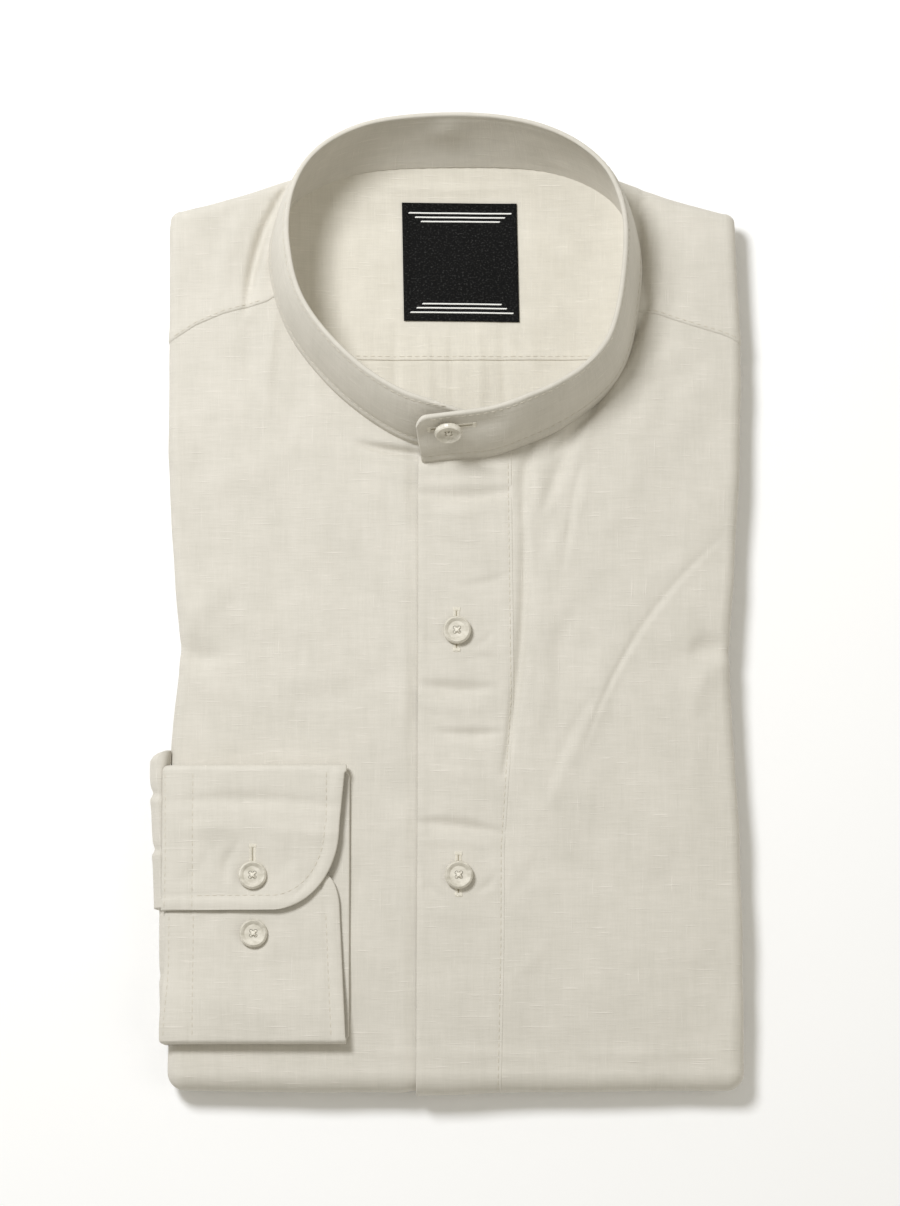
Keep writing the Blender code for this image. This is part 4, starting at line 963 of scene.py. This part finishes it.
def make_cuff(look):
    """One strip folded flat, its over end lapped and buttoned on its under end."""
    path = cuff_path()
    y, height, out_y, out_h, right, over_layer = path.T[:, :, None]
    x = mix(CUFF_SEAM, right, graded(1.0, 0.0145, 0.007)[None, :])
    run = run_along(path[:, :2])[:, None]
    face_up = np.clip(out_h, 0.0, 1.0)
    swell = 0.36 * ripple(x, run, 26.0, 61.0) + 0.12 * ripple(x, run, 11.0, 64.0)
    bend = swell + creased(run, x, CUFF_CREASES) + cuff_welt(x, y, right, over_layer) * face_up
    lift = 0.9 * smooth(-112.0, -124.0, y) * smooth(-100.0, -60.0, x) + 0.5 * smooth(-56.0, -42.0, x)
    full = np.sin(np.pi * np.clip((x + 112.0) / 72.0, 0.0, 1.0)) ** 0.8 * smooth(-177.0, -160.0, y)
    lift = lift * over_layer + CUFF_FULLNESS * full
    back_h, under_h = CUFF_LAYERS[0] + CUFF_WALL / 2, CUFF_LAYERS[1] + CUFF_WALL / 2
    puffed = smooth(-142.0, -175.0, y) * np.clip((height - back_h) / (under_h - back_h), 0.0, 1.0)
    height = height + CUFF_PUFF * puffed * (1.0 - over_layer)
    half = rounded(edge_distances(x, run), CUFF_WALL / 2)
    top = height + (bend + lift) * mix(1.0, beside_buttons(x, y, CUFF_BUTTONS), face_up) * face_up
    over = lay(x, y + out_y * half, top + out_h * half)
    under = lay(x, y - out_y * half, top - out_h * half)
    made = shell("cuff_cloth", look, over, under, x, run, (71.0, 23.0))
    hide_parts("cuff")
    return {"x": x, "y": path[:, 0], "points": over, "over_layer": path[:, 5]}


SLEEVE_PLEATS = (
    # from x, from y, to x, to y, bow, width, height, lip
    (-108.0, -80.0, -130.0, -74.0, 0.6, 2.6, -1.35, 0.5),
    (-108.0, -101.5, -130.0, -98.5, 0.5, 2.6, -1.20, 0.5),
    (-109.0, -150.0, -128.0, -152.0, 0.5, 3.4, -0.50, 0.3),
)


def make_sleeve(look):
    """What shows of the sleeve: a flat tube from the cuff round the side fold and in below it."""
    foot, top = SLEEVE[0][0], SLEEVE[-1][0]
    y = np.unique(np.append(foot + graded(top - foot, 1.0, 1.0), SLEEVE_STEP))[:, None]
    height = along(SLEEVE, y)
    roll = side_roll(y)
    start = left_core(y)
    past = graded(1.0, 0.028, 0.01)[None, :]
    x = mix(CUFF_SEAM - GAP / 2, start - math.pi * roll - TUCK_SIDE, past)
    turned_under = smooth(0.5, 1.0, (start - x) / (math.pi * roll))
    calm = smooth(0.9, 0.3, turned_under) * smooth(0.0, 3.0, y - foot) * smooth(0.0, 3.0, top - y)
    relief = (0.35 * ripple(x, y, 22.0, 71.0) + creased(x, y, SLEEVE_PLEATS)) * calm
    over = lay(x, y, mix(height + relief, np.minimum(height, SLEEVE_TUCK), turned_under))
    under = lay(x, y, 2 * GAP)
    made = shell("sleeve_cloth", look, over, under, x, y, (33.0, 57.0))
    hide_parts("sleeve")


# ---------------------------------------------------------------- the layers folded behind

LEAVES = 4           # folded layers that show at the edges below the fronts
LEAF_INSETS = (3.4, 1.7, 2.9, 1.5)  # how far each one's fold is in from the fronts' folds
LEAF_GROOVE = 1.7    # depth of the groove between two of them


def layer_outline():
    """Places round the tail's edge, anticlockwise from its right foot: core x, core y and bearing."""
    arcs = np.linspace(0.0, 90.0, 12)[1:-1]
    left, right = left_core(SHOULDER_Y), right_core(SHOULDER_Y)
    top_left, top_right = (top_core(x) - TAIL_SHORT for x in (left, right))
    up = np.linspace(TAIL_FOOT, top_right, 110)
    down = np.linspace(top_left, TAIL_FOOT, 110)
    back = np.linspace(right, left, 90)
    foot_left, foot_right = left_core(TAIL_FOOT), right_core(TAIL_FOOT)
    parts = (
        (right_core(up), up, 0.0),
        (right, top_right, arcs),
        (back, top_core(back) - TAIL_SHORT, 90.0),
        (left, top_left, 90.0 + arcs),
        (left_core(down), down, 180.0),
        (foot_left, TAIL_FOOT, 180.0 + arcs),
        (np.linspace(foot_left, foot_right, 90), TAIL_FOOT, 270.0),
        (foot_right, TAIL_FOOT, 270.0 + arcs),
    )
    return np.concatenate([np.stack(np.broadcast_arrays(*part)) for part in parts], axis=1)


def make_hidden_layers(look):
    """The folded back, tail and other sleeve, whose rounded folds show one above another at the edges."""
    x, y, bearing = layer_outline()
    c, s = np.cos(np.radians(bearing)), np.sin(np.radians(bearing))
    beside_sleeve = smooth(-10.0, -40.0, y) * smooth(0.0, -60.0, x)
    space = top_height(x, y) - 2 * side_roll(y) - GAP - (SLEEVE_TUCK + 2 * GAP) * beside_sleeve
    space = mix(space, FOOT_LIFT + 1.2, np.maximum(-s, 0.0) ** 2)
    run = run_along(np.stack([x, y], axis=-1))
    rings = []
    for leaf in range(LEAVES):
        wave = 0.9 * ripple(run, 0.0, 42.0, 80.0 + leaf) + 0.3 * ripple(run, 0.0, 13.0, 90.0 + leaf)
        wander = 0.16 * ripple(run, 0.0, 55.0, 97.0 + leaf) if leaf else 0.0
        for turn in np.radians(np.linspace(-90.0, 90.0, 9))[min(leaf, 1) :]:
            bulge = math.cos(turn)
            reach = SIDE_ROLL - LEAF_INSETS[leaf] - LEAF_GROOVE * (1.0 - bulge)
            reach = reach + wave * (0.4 + 0.6 * bulge)
            level = np.clip((leaf + 0.5 + 0.5 * math.sin(turn) + wander * bulge) / LEAVES, 0.0, 1.0)
            rings.append(np.stack([x + c * reach, y + s * reach, space * level], axis=-1))
    inner = SIDE_ROLL - TUCK_SIDE - 6.0
    rings.append(np.stack([x + c * inner, y + s * inner, space], axis=-1))
    points = np.stack(rings)
    along_it = np.broadcast_to(run, points.shape[:2])
    weave = np.stack([along_it, points[..., 2] * 1.6, 0.0 * along_it], axis=-1)
    made = mesh_object("hidden_layers_cloth", points, tube_faces(*points.shape[:2]), look, weave)
    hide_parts("hidden_layers")


# ---------------------------------------------------------------- stitching and buttonholes


THREAD_SIDES = 6
THREAD_STATIONS = (
    # share of a stitch's length from its middle, share of its thickness
    (-0.5, 0.30),
    (-0.38, 0.82),
    (0.0, 1.0),
    (0.38, 0.82),
    (0.5, 0.30),
)


def unit(vectors):
    return vectors / np.maximum(np.linalg.norm(vectors, axis=-1, keepdims=True), 1e-9)


def stitch_row(line, up, length, pitch, width, turn=0.0, sink=0.12):
    """Points and faces of a row of short threads along a line, each turned from the line by an angle."""
    run = run_along(line)
    centres = np.arange(pitch / 2, run[-1], pitch)

    def at(values, where):
        return np.stack([np.interp(where, run, values[:, k]) for k in range(3)], axis=-1)

    middle, facing_out = at(line, centres), unit(at(up, centres))
    ahead = unit(at(line, np.minimum(centres + 0.3, run[-1])) - at(line, np.maximum(centres - 0.3, 0.0)))
    side = np.cross(facing_out, ahead)
    c, s = math.cos(math.radians(turn)), math.sin(math.radians(turn))
    ahead, side = ahead * c + side * s, side * c - ahead * s
    points = []
    for station, radius in THREAD_STATIONS:
        for angle in np.arange(THREAD_SIDES) * math.tau / THREAD_SIDES:
            across = width / 2 * radius * math.cos(angle)
            out = width / 2 * 0.8 * radius * math.sin(angle) - sink * (2.0 * station) ** 2
            points.append(middle + ahead * station * length + side * across + facing_out * out)
    template, count = tube_faces(len(THREAD_STATIONS), THREAD_SIDES), len(points)
    faces = [[n * count + v for v in face] for n in range(len(centres)) for face in template]
    return np.stack(points, axis=1).reshape(-1, 3), faces


def strand(points, radius, sides=7):
    """Points and faces of one thread along a list of points."""
    points = np.asarray(points, float)
    ahead = unit(np.gradient(points, axis=0))
    other = np.where(np.abs(ahead[:, 2:3]) > 0.9, (1.0, 0.0, 0.0), (0.0, 0.0, 1.0))
    side = unit(np.cross(ahead, other))
    out = np.cross(side, ahead)
    angles = (np.arange(sides) * math.tau / sides)[None, :, None]
    ring = side[:, None] * np.cos(angles) + out[:, None] * np.sin(angles)
    return (points[:, None] + ring * radius).reshape(-1, 3), tube_faces(len(points), sides)


def threads(name, look, rows):
    """One object of several rows or strands of thread."""
    faces, count = [], 0
    for row_points, row_faces in rows:
        faces += [[v + count for v in face] for face in row_faces]
        count += len(row_points)
    points = np.concatenate([row_points for row_points, _ in rows])
    made = mesh_object(name, points, faces, look, points)


SEAM_STITCH = {"length": 2.3, "pitch": 3.0, "width": 0.38}  # eight stitches an inch in fine cotton
THREAD_OFF = 0.04  # how far the middle of a seam's thread is off the cloth
CUFF_THREAD_OFF = 0.05
PLACKET_THREAD_OFF = 0.10
UPWARDS = (0.0, 0.0, 1.0)


def facing(x, y):
    """Out of the body's form at cloth places."""
    return lay(x, y, 1.0) - lay(x, y, 0.0)


def make_front_stitching(look):
    """The rows that hold the placket's right edge and the yoke's front seams."""
    y = np.linspace(FOOT_CORE - 9.0, 55.0, 300)
    x = along(PLACKET, y, 2) - PLACKET_SEAM_IN
    line = lay(x, y, placket_top(x, y) + PLACKET_THREAD_OFF)
    threads("placket_stitching", look, [stitch_row(line, facing(x, y), **SEAM_STITCH)])
    rows = []
    for table, ends in ((YOKE_SEAM_RIGHT, (-110.0, -74.0)), (YOKE_SEAM_LEFT, (80.0, 116.0))):
        x = np.linspace(*ends, 60)
        y = along(table, x) + 1.5
        line = lay(x, y, body_relief(x, y) + SEAM_RISE + THREAD_OFF)
        rows.append(stitch_row(line, facing(x, y), **SEAM_STITCH))
    threads("yoke_stitching", look, rows)


def make_neck_stitching(look):
    """The rows along the band's base and rim, and along the seam inside the neck."""
    rows = []
    for at_up, end, out_share in ((0.105, 0.995, 1.0), (0.925, 0.985, 0.93)):
        share = np.linspace(0.03, end, 420)
        up = np.full(420, at_up)
        out = band_relief(share, up) + band_seam(up) + BAND_THICK / 2 * out_share
        line = band_point(share, up, out + THREAD_OFF)
        rows.append(stitch_row(line, band_point(share, up, out + 1.0) - line, **SEAM_STITCH))
    threads("band_stitching", look, rows)
    x = np.linspace(INNER_SEAM_ENDS[0] + 2.0, INNER_SEAM_ENDS[1] - 2.0, 160)
    y = np.full(160, INNER_SEAM + 1.6)
    line = np.stack([x, y, neck_height(x, y) + neck_relief(x, y) + SEAM_RISE + THREAD_OFF], axis=-1)
    row = stitch_row(line, np.tile(UPWARDS, (160, 1)), **SEAM_STITCH)
    threads("inner_yoke_stitching", look, [row])


def cuff_line(cuff, x, y, on_over):
    """The points of the cuff's outer face at places in the plan, on its over or its under layer."""
    lowest = np.argmin(cuff["y"])
    rows = np.flatnonzero(cuff["over_layer"] > 0.5) if on_over else np.arange(lowest + 1, len(cuff["y"]))

    def across(row, place_x):
        return np.array([np.interp(place_x, cuff["x"][row], cuff["points"][row, :, k]) for k in range(3)])

    line = []
    for place_x, place_y in zip(x, y):
        row = np.interp(place_y, cuff["y"][rows], rows)
        low = int(row)
        high = min(low + 1, rows[-1])
        line.append(mix(across(low, place_x), across(high, place_x), row - low))
    return np.array(line)


def make_cuff_stitching(look, cuff):
    """Two rows up the cuff beside the sleeve, and one round inside its edge."""
    paths = []
    for seam_in in CUFF_ROWS:
        y = np.linspace(CUFF_OVER_END + 1.0, CUFF_TOP - 3.0, 60)
        paths.append((np.full(60, CUFF_SEAM + seam_in), y, True))
        y = np.linspace(CUFF_FOOT + 3.0, CUFF_OVER_END - 0.5, 60)
        paths.append((np.full(60, CUFF_SEAM + seam_in + 0.5), y, False))
    across, deep = (size - CUFF_STITCH_IN for size in CUFF_ROUND)
    corner_x, corner_y = CUFF_OVER_RIGHTS[0] - CUFF_ROUND[0], CUFF_OVER_END + CUFF_ROUND[1]
    turn = np.radians(np.linspace(90.0, 0.0, 50))
    x = [np.linspace(CUFF_SEAM + 10.5, corner_x, 30)[:-1], corner_x + across * np.cos(turn)]
    y = [np.full(29, corner_y - deep), corner_y - deep * np.sin(turn)]
    x.append(np.full(24, corner_x + across + 0.6))
    y.append(np.linspace(corner_y, CUFF_TOP - 4.0, 25)[1:])
    paths.append((np.concatenate(x), np.concatenate(y), True))
    y = np.linspace(CUFF_FOOT + 3.0, -128.0, 60)
    paths.append((np.linspace(-45.4, -47.6, 60), y, False))
    rows = []
    for x, y, on_over in paths:
        line = cuff_line(cuff, x, y, on_over) + np.array(UPWARDS) * CUFF_THREAD_OFF
        rows.append(stitch_row(line, facing(x, y), **SEAM_STITCH))
    threads("cuff_stitching", look, rows)


BUTTONHOLE = {"length": 1.05, "pitch": 0.42, "width": 0.40, "turn": 90.0, "sink": 0.10}
BUTTONHOLE_HALF = 0.85  # from the slit to the middle of each side's thread
BUTTONHOLE_OFF = 0.06   # how far its line is off the cloth
BAR_TACK = {"length": 1.7, "pitch": 0.42, "width": 0.42, "turn": 90.0, "sink": 0.10}


def make_buttonhole(name, look, slit_shade_look, line, up):
    """A worked buttonhole along a line of points: two sides of close threads, a bar at each end, and a dark
    strand of painted shade in its slit.
    """
    line, up = np.asarray(line), unit(np.asarray(up))
    side = unit(np.cross(up, np.gradient(line, axis=0)))
    rows = [stitch_row(line + side * off, up, **BUTTONHOLE) for off in (-BUTTONHOLE_HALF, BUTTONHOLE_HALF)]
    for end in (0, -1):
        across = np.linspace(-1.5, 1.5, 7)[:, None] * side[end] + line[end]
        ups = np.tile(up[end], (7, 1))
        rows.append(stitch_row(across + up[end] * 0.1, ups, **BAR_TACK))
    threads(name, look, rows)
    # a dark strand just below the threads: painted shade where the slit opens
    threads(name + "_slit_shade", slit_shade_look, [strand(line[1:-1] - up[1:-1] * 0.10, 0.20)])


def make_button_thread(name, look, base, facing_out):
    """Thread crossed through a button's four holes, and down below it to the cloth."""
    out = unit(np.array(facing_out))
    side = unit(np.cross(out, (0.0, 1.0, 0.02)))
    other = np.cross(out, side)
    rows = []
    for corner in ((1.0, 1.0), (1.0, -1.0)):
        run = unit(side * corner[0] + other * corner[1])
        beside = np.cross(out, run)
        for off in (-0.26, 0.0, 0.26):
            places = []
            for share in np.linspace(-1.0, 1.0, 13):
                height = BUTTON_FACE + 0.42 - 1.5 * abs(share) ** 5
                height += 0.14 * (corner[1] > 0) * (1.0 - share**2)
                aside = beside * off * (1.0 - 0.4 * abs(share))
                places.append(base + run * BUTTON_HOLE_OFF * share + aside + out * height)
            rows.append(strand(places, 0.24))
        for sign in (-1.0, 1.0):
            foot = base + run * BUTTON_HOLE_OFF * sign
            rows.append(strand([foot + out * 1.25, foot + out * 0.3, foot - out * 0.9], 0.62))
    threads(name, look, rows)


def make_fastenings(thread, slit_shade_look, cuff):
    """The buttons' threads and the worked buttonholes below them."""
    on_placket = PLACKET_THICK - PLACKET_SINK + BUTTON_OFF
    for k, (x, y) in enumerate(FRONT_BUTTONS):
        make_button_thread(f"front_button_{k + 1}_thread", thread, lay(x, y, on_placket), UPWARDS)
        places_y = np.linspace(y - 7.8, y + 8.6, 40)
        places_x = np.full(40, x - 0.2)
        line = lay(places_x, places_y, placket_top(places_x, places_y) + BUTTONHOLE_OFF)
        make_buttonhole(f"front_buttonhole_{k + 1}", thread, slit_shade_look, line, facing(places_x, places_y))
    for k, ((x, y), low) in enumerate(zip(CUFF_BUTTONS, (CUFF_LAYERS[2], CUFF_LAYERS[1]))):
        base = lay(x, y, low + CUFF_WALL + BUTTON_OFF)
        make_button_thread(f"cuff_button_{k + 1}_thread", thread, base, UPWARDS)
    x, y = CUFF_BUTTONS[0]
    places_y = np.linspace(y - 4.6, y + 11.6, 40)
    ups = np.tile(UPWARDS, (40, 1))
    line = cuff_line(cuff, np.full(40, x), places_y, True) + ups * BUTTONHOLE_OFF
    make_buttonhole("cuff_buttonhole", thread, slit_shade_look, line, ups)
    share, up = COLLAR_BUTTON_AT
    face = band_point(share, up, BAND_THICK / 2)
    out = unit(band_point(share, up, BAND_THICK) - face)
    make_button_thread("collar_button_thread", thread, face + out * BUTTON_OFF, out)
    shares = share + np.linspace(-8.2, 6.6, 40) / BAND_LENGTH
    ups = np.full(40, up)
    line = band_point(shares, ups, BAND_THICK / 2 + band_relief(shares, ups) + BUTTONHOLE_OFF)
    outs = band_point(shares, ups, BAND_THICK + 1.0) - line
    make_buttonhole("collar_buttonhole", thread, slit_shade_look, line, outs)


# ---------------------------------------------------------------- materials


def fill(tree, node, inputs):
    """Set each of a node's inputs to a value, or link it to another node's output."""
    for key, value in inputs.items():
        if isinstance(value, bpy.types.NodeSocket):
            tree.links.new(value, node.inputs[key])
        else:
            node.inputs[key].default_value = value


def add(tree, kind, settings=None, inputs=None):
    """A node with its settings and its inputs."""
    node = tree.nodes.new(kind)
    for key, value in (settings or {}).items():
        setattr(node, key, value)
    fill(tree, node, inputs or {})
    return node


WEAVE = {"attribute_name": "weave"}  # each point's place in its cloth, in millimetres


def new_material(name):
    """A material with one Principled shader on its output, and its tree and shader."""
    made = bpy.data.materials.new(name)
    made.use_nodes = True
    return made, made.node_tree, made.node_tree.nodes["Principled BSDF"]


def yarn(tree, places, across, along_it, seed, detail=2.0):
    """Unevenness of the yarns that run one way: long along each yarn and short across it."""
    inputs = {0: places, 1: (across, along_it, 1.0), 2: (seed, seed / 2, seed)}
    moved = add(tree, "ShaderNodeVectorMath", {"operation": "MULTIPLY_ADD"}, inputs).outputs[0]
    inputs = {"Vector": moved, "Scale": 1.0, "Detail": detail, "Roughness": 0.55}
    return add(tree, "ShaderNodeTexNoise", {}, inputs).outputs["Fac"]


def total(tree, *terms):
    """The sum of sockets, each with its own weight."""
    result = None
    for socket, weight in terms:
        inputs = {0: socket, 1: weight, 2: result if result else 0.0}
        result = add(tree, "ShaderNodeMath", {"operation": "MULTIPLY_ADD"}, inputs).outputs[0]
    return result


def blended(tree, value, low, high, dark, light):
    """A colour between two hex ones, as a value goes from low to high."""
    limits = {"Value": value, "From Min": low, "From Max": high, "To Min": 0.0, "To Max": 1.0}
    share = add(tree, "ShaderNodeMapRange", {"clamp": True}, limits).outputs[0]
    inputs = {"Factor": share, "A": linear(dark), "B": linear(light)}
    return add(tree, "ShaderNodeMix", {"data_type": "RGBA"}, inputs).outputs["Result"]


def woven_linen(name, ground, bright):
    """Plain-woven flax, washed and pressed: matte, with thick and thin yarns both ways and stray slubs.

    The yarns are 0.5 mm apart; their unevenness is drawn 0.7 to 1 mm wide so that it shows.
    """
    made, tree, shader = new_material(name)
    places = add(tree, "ShaderNodeAttribute", WEAVE).outputs["Vector"]
    weft = yarn(tree, places, 1 / 9.0, 1 / 0.62, 3.0)
    warp = yarn(tree, places, 1 / 0.62, 1 / 12.0, 11.0)
    weft_bands = yarn(tree, places, 1 / 24.0, 1 / 2.6, 61.0)
    warp_bands = yarn(tree, places, 1 / 2.4, 1 / 28.0, 71.0)
    patches = yarn(tree, places, 1 / 26.0, 1 / 26.0, 51.0)
    clouds = yarn(tree, places, 1 / 8.0, 1 / 9.0, 83.0)
    weft_slub = yarn(tree, places, 1 / 13.0, 1 / 0.95, 23.0, 1.0)
    warp_slub = yarn(tree, places, 1 / 0.95, 1 / 17.0, 37.0, 1.0)
    thick = []
    for slub, low in ((weft_slub, 0.64), (warp_slub, 0.67)):
        limits = {"Value": slub, "From Min": low, "From Max": low + 0.12, "To Min": 0.0, "To Max": 1.0}
        thick.append(add(tree, "ShaderNodeMapRange", {"clamp": True}, limits).outputs[0])
    yarns = ((weft, 0.50), (warp, 0.42), (weft_bands, 0.36), (warp_bands, 0.36))
    uneven = (*yarns, (patches, 0.60), (clouds, 0.50))
    tone = total(tree, *uneven, (thick[0], 0.55), (thick[1], 0.44))
    middle = sum(weight for _, weight in uneven) / 2
    height = total(tree, (weft, 0.7), (warp, 0.6), (thick[0], 0.8), (thick[1], 0.6))
    bump = add(tree, "ShaderNodeBump", {}, {"Height": height, "Strength": 0.55, "Distance": 0.00022})
    finish = {
        "Base Color": blended(tree, tone, middle - 0.5, middle + 0.5, ground, bright),
        "Normal": bump.outputs[0],
        "Roughness": 0.88,
        "IOR": 1.5,
        "Specular IOR Level": 0.35,
        "Sheen Weight": 0.12,
        "Sheen Roughness": 0.5,
    }
    fill(tree, shader, finish)
    return made


def damask_label():
    """Black polyester damask: fine satin ribs with a slight glint, on a dark ground."""
    made, tree, shader = new_material("black damask weave")
    places = add(tree, "ShaderNodeAttribute", WEAVE).outputs["Vector"]
    ribs = yarn(tree, places, 1 / 1.6, 1 / 0.5, 5.0)
    specks = yarn(tree, places, 1 / 0.8, 1 / 0.7, 9.0, 3.0)
    tone = total(tree, (ribs, 0.5), (specks, 1.4))
    bump = add(tree, "ShaderNodeBump", {}, {"Height": tone, "Strength": 0.5, "Distance": 0.0002})
    finish = {
        "Base Color": blended(tree, tone, 1.0, 1.45, "#070707", "#454544"),
        "Normal": bump.outputs[0],
        "Roughness": 0.7,
        "Specular IOR Level": 0.12,
    }
    fill(tree, shader, finish)
    return made


def spun_thread(name, colour):
    """Spun thread, twisted from two plies: matte, a little lighter than the cloth, ribbed by its twist."""
    made, tree, shader = new_material(name)
    places = add(tree, "ShaderNodeAttribute", WEAVE).outputs["Vector"]
    plies = yarn(tree, places, 1 / 0.35, 1 / 0.35, 7.0)
    bump = add(tree, "ShaderNodeBump", {}, {"Height": plies, "Strength": 0.5, "Distance": 0.00012})
    fill(tree, shader, {"Base Color": linear(colour), "Normal": bump.outputs[0], "Roughness": 0.75})
    return made


def pearl_resin():
    """Cast polyester with pearl pigment, turned and polished: cream, faintly clouded, glossy."""
    made, tree, shader = new_material("pearl resin")
    places = add(tree, "ShaderNodeTexCoord").outputs["Object"]
    clouds = yarn(tree, places, 260.0, 420.0, 2.0)
    finish = {
        "Base Color": blended(tree, clouds, 0.35, 0.65, "#C9C4B6", "#E4DFD3"),
        "Roughness": 0.28,
        "IOR": 1.55,
        "Coat Weight": 0.5,
        "Coat Roughness": 0.12,
    }
    fill(tree, shader, finish)
    return made


def plain(name, colour, roughness):
    """One even colour, for the painted shade in a buttonhole's slit and for the floor."""
    made, tree, shader = new_material(name)
    fill(tree, shader, {"Base Color": linear(colour), "Roughness": roughness})
    return made


# ---------------------------------------------------------------- floor, light and camera


LIGHTS = (
    # name, place in metres, width, power, tint
    ("window", (-0.56, 0.60, 1.20), 0.42, 16.4, (0.985, 1.0, 1.03)),
    ("far wall", (1.1, -0.35, 1.1), 1.2, 3.2, (1.0, 0.98, 0.92)),
)
ROOM_LIGHT = 0.385
ROOM_TINT = (1.0, 0.96, 0.85, 1.0)
FLOOR_HALF = 4.0
FLOOR_DROP = 0.0004  # below the shirt, so that the two never lie in one plane
SENSOR = 36.0
CAMERA_AIM = (0.0001, 0.0010, 0.010)  # the point at the middle of the view
CAMERA_AWAY = 1.8
CAMERA_TILT = 8.0     # degrees from straight down, towards the foot
VIEW_HEIGHT = 0.4824  # how much the view spans at the aim


def make_stage():
    """A pale floor, a window's light from beyond the collar's left, a far wall's and a camera overhead."""
    data = bpy.data.meshes.new("floor")
    size, low = FLOOR_HALF, -FLOOR_DROP
    corners = [(-size, -size, low), (size, -size, low), (size, size, low), (-size, size, low)]
    data.from_pydata(corners, [], [(0, 1, 2, 3)])
    data.materials.append(plain("matt white floor", "#FDFDFD", 0.95))
    floor = put("floor", data)

    for name, place, width, power, tint in LIGHTS:
        light = bpy.data.lights.new(name, "AREA")
        light.shape = "DISK"
        light.size = width
        light.energy = power
        light.color = tint
        lamp = put(name, light)
        lamp.location = place
        lamp.rotation_euler = (-Vector(place)).to_track_quat("-Z", "Y").to_euler()

    world = bpy.data.worlds.new("soft room")
    world.use_nodes = True
    background = world.node_tree.nodes["Background"]
    fill(world.node_tree, background, {"Color": ROOM_TINT, "Strength": ROOM_LIGHT})
    bpy.context.scene.world = world
    bpy.context.scene.view_settings.view_transform = "Standard"

    lens = bpy.data.cameras.new("camera")
    lens.sensor_fit = "VERTICAL"
    lens.sensor_height = SENSOR
    lens.lens = SENSOR * CAMERA_AWAY / VIEW_HEIGHT
    lens.clip_start = 0.01
    camera = put("camera", lens)
    tilt = math.radians(CAMERA_TILT)
    towards = Vector((0.0, -math.sin(tilt), math.cos(tilt)))
    camera.location = Vector(CAMERA_AIM) + towards * CAMERA_AWAY
    camera.rotation_euler = (tilt, 0.0, 0.0)
    bpy.context.scene.camera = camera


def main():
    linen = woven_linen("woven linen", "#C9C5BA", "#DDD8CE")
    # a lighter, warmer copy of the linen for inside the neck: its extra lightness is painted light where
    # that cloth is lit more, its warmth the cloth's own cream tone
    inside = woven_linen("woven linen inside", "#CFCABD", "#E4DFD3")
    # a little darker copy of the linen: painted shade on the layers folded under the fronts
    layers = woven_linen("folded linen", "#C6C1B6", "#DAD5CB")
    thread = spun_thread("cotton thread", "#D2CCBE")
    # a lighter copy of the cotton thread: painted light, so that the thread crossed in each button's shaded
    # dish does not read dark
    button_thread = spun_thread("button thread", "#EAE5D8")
    white_thread = spun_thread("white rayon thread", "#FAFAF8")
    # painted shade: a dark brown-grey for the inside of each buttonhole's slit
    slit_shade_look = plain("buttonhole shade", "#A0977F", 0.95)
    make_front_right(linen)
    make_front_left(linen)
    make_placket(linen)
    make_yoke(linen)
    make_inner_yoke(inside)
    make_back(inside)
    make_label(damask_label(), white_thread)
    make_collar_band(linen)
    cuff = make_cuff(linen)
    make_sleeve(linen)
    make_hidden_layers(layers)
    make_front_stitching(thread)
    make_neck_stitching(thread)
    make_cuff_stitching(thread, cuff)
    make_fastenings(button_thread, slit_shade_look, cuff)
    resin = pearl_resin()
    for name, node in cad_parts.items():
        if "button" in name:
            for place in node.material_slots:
                place.material = resin
    make_stage()


main()
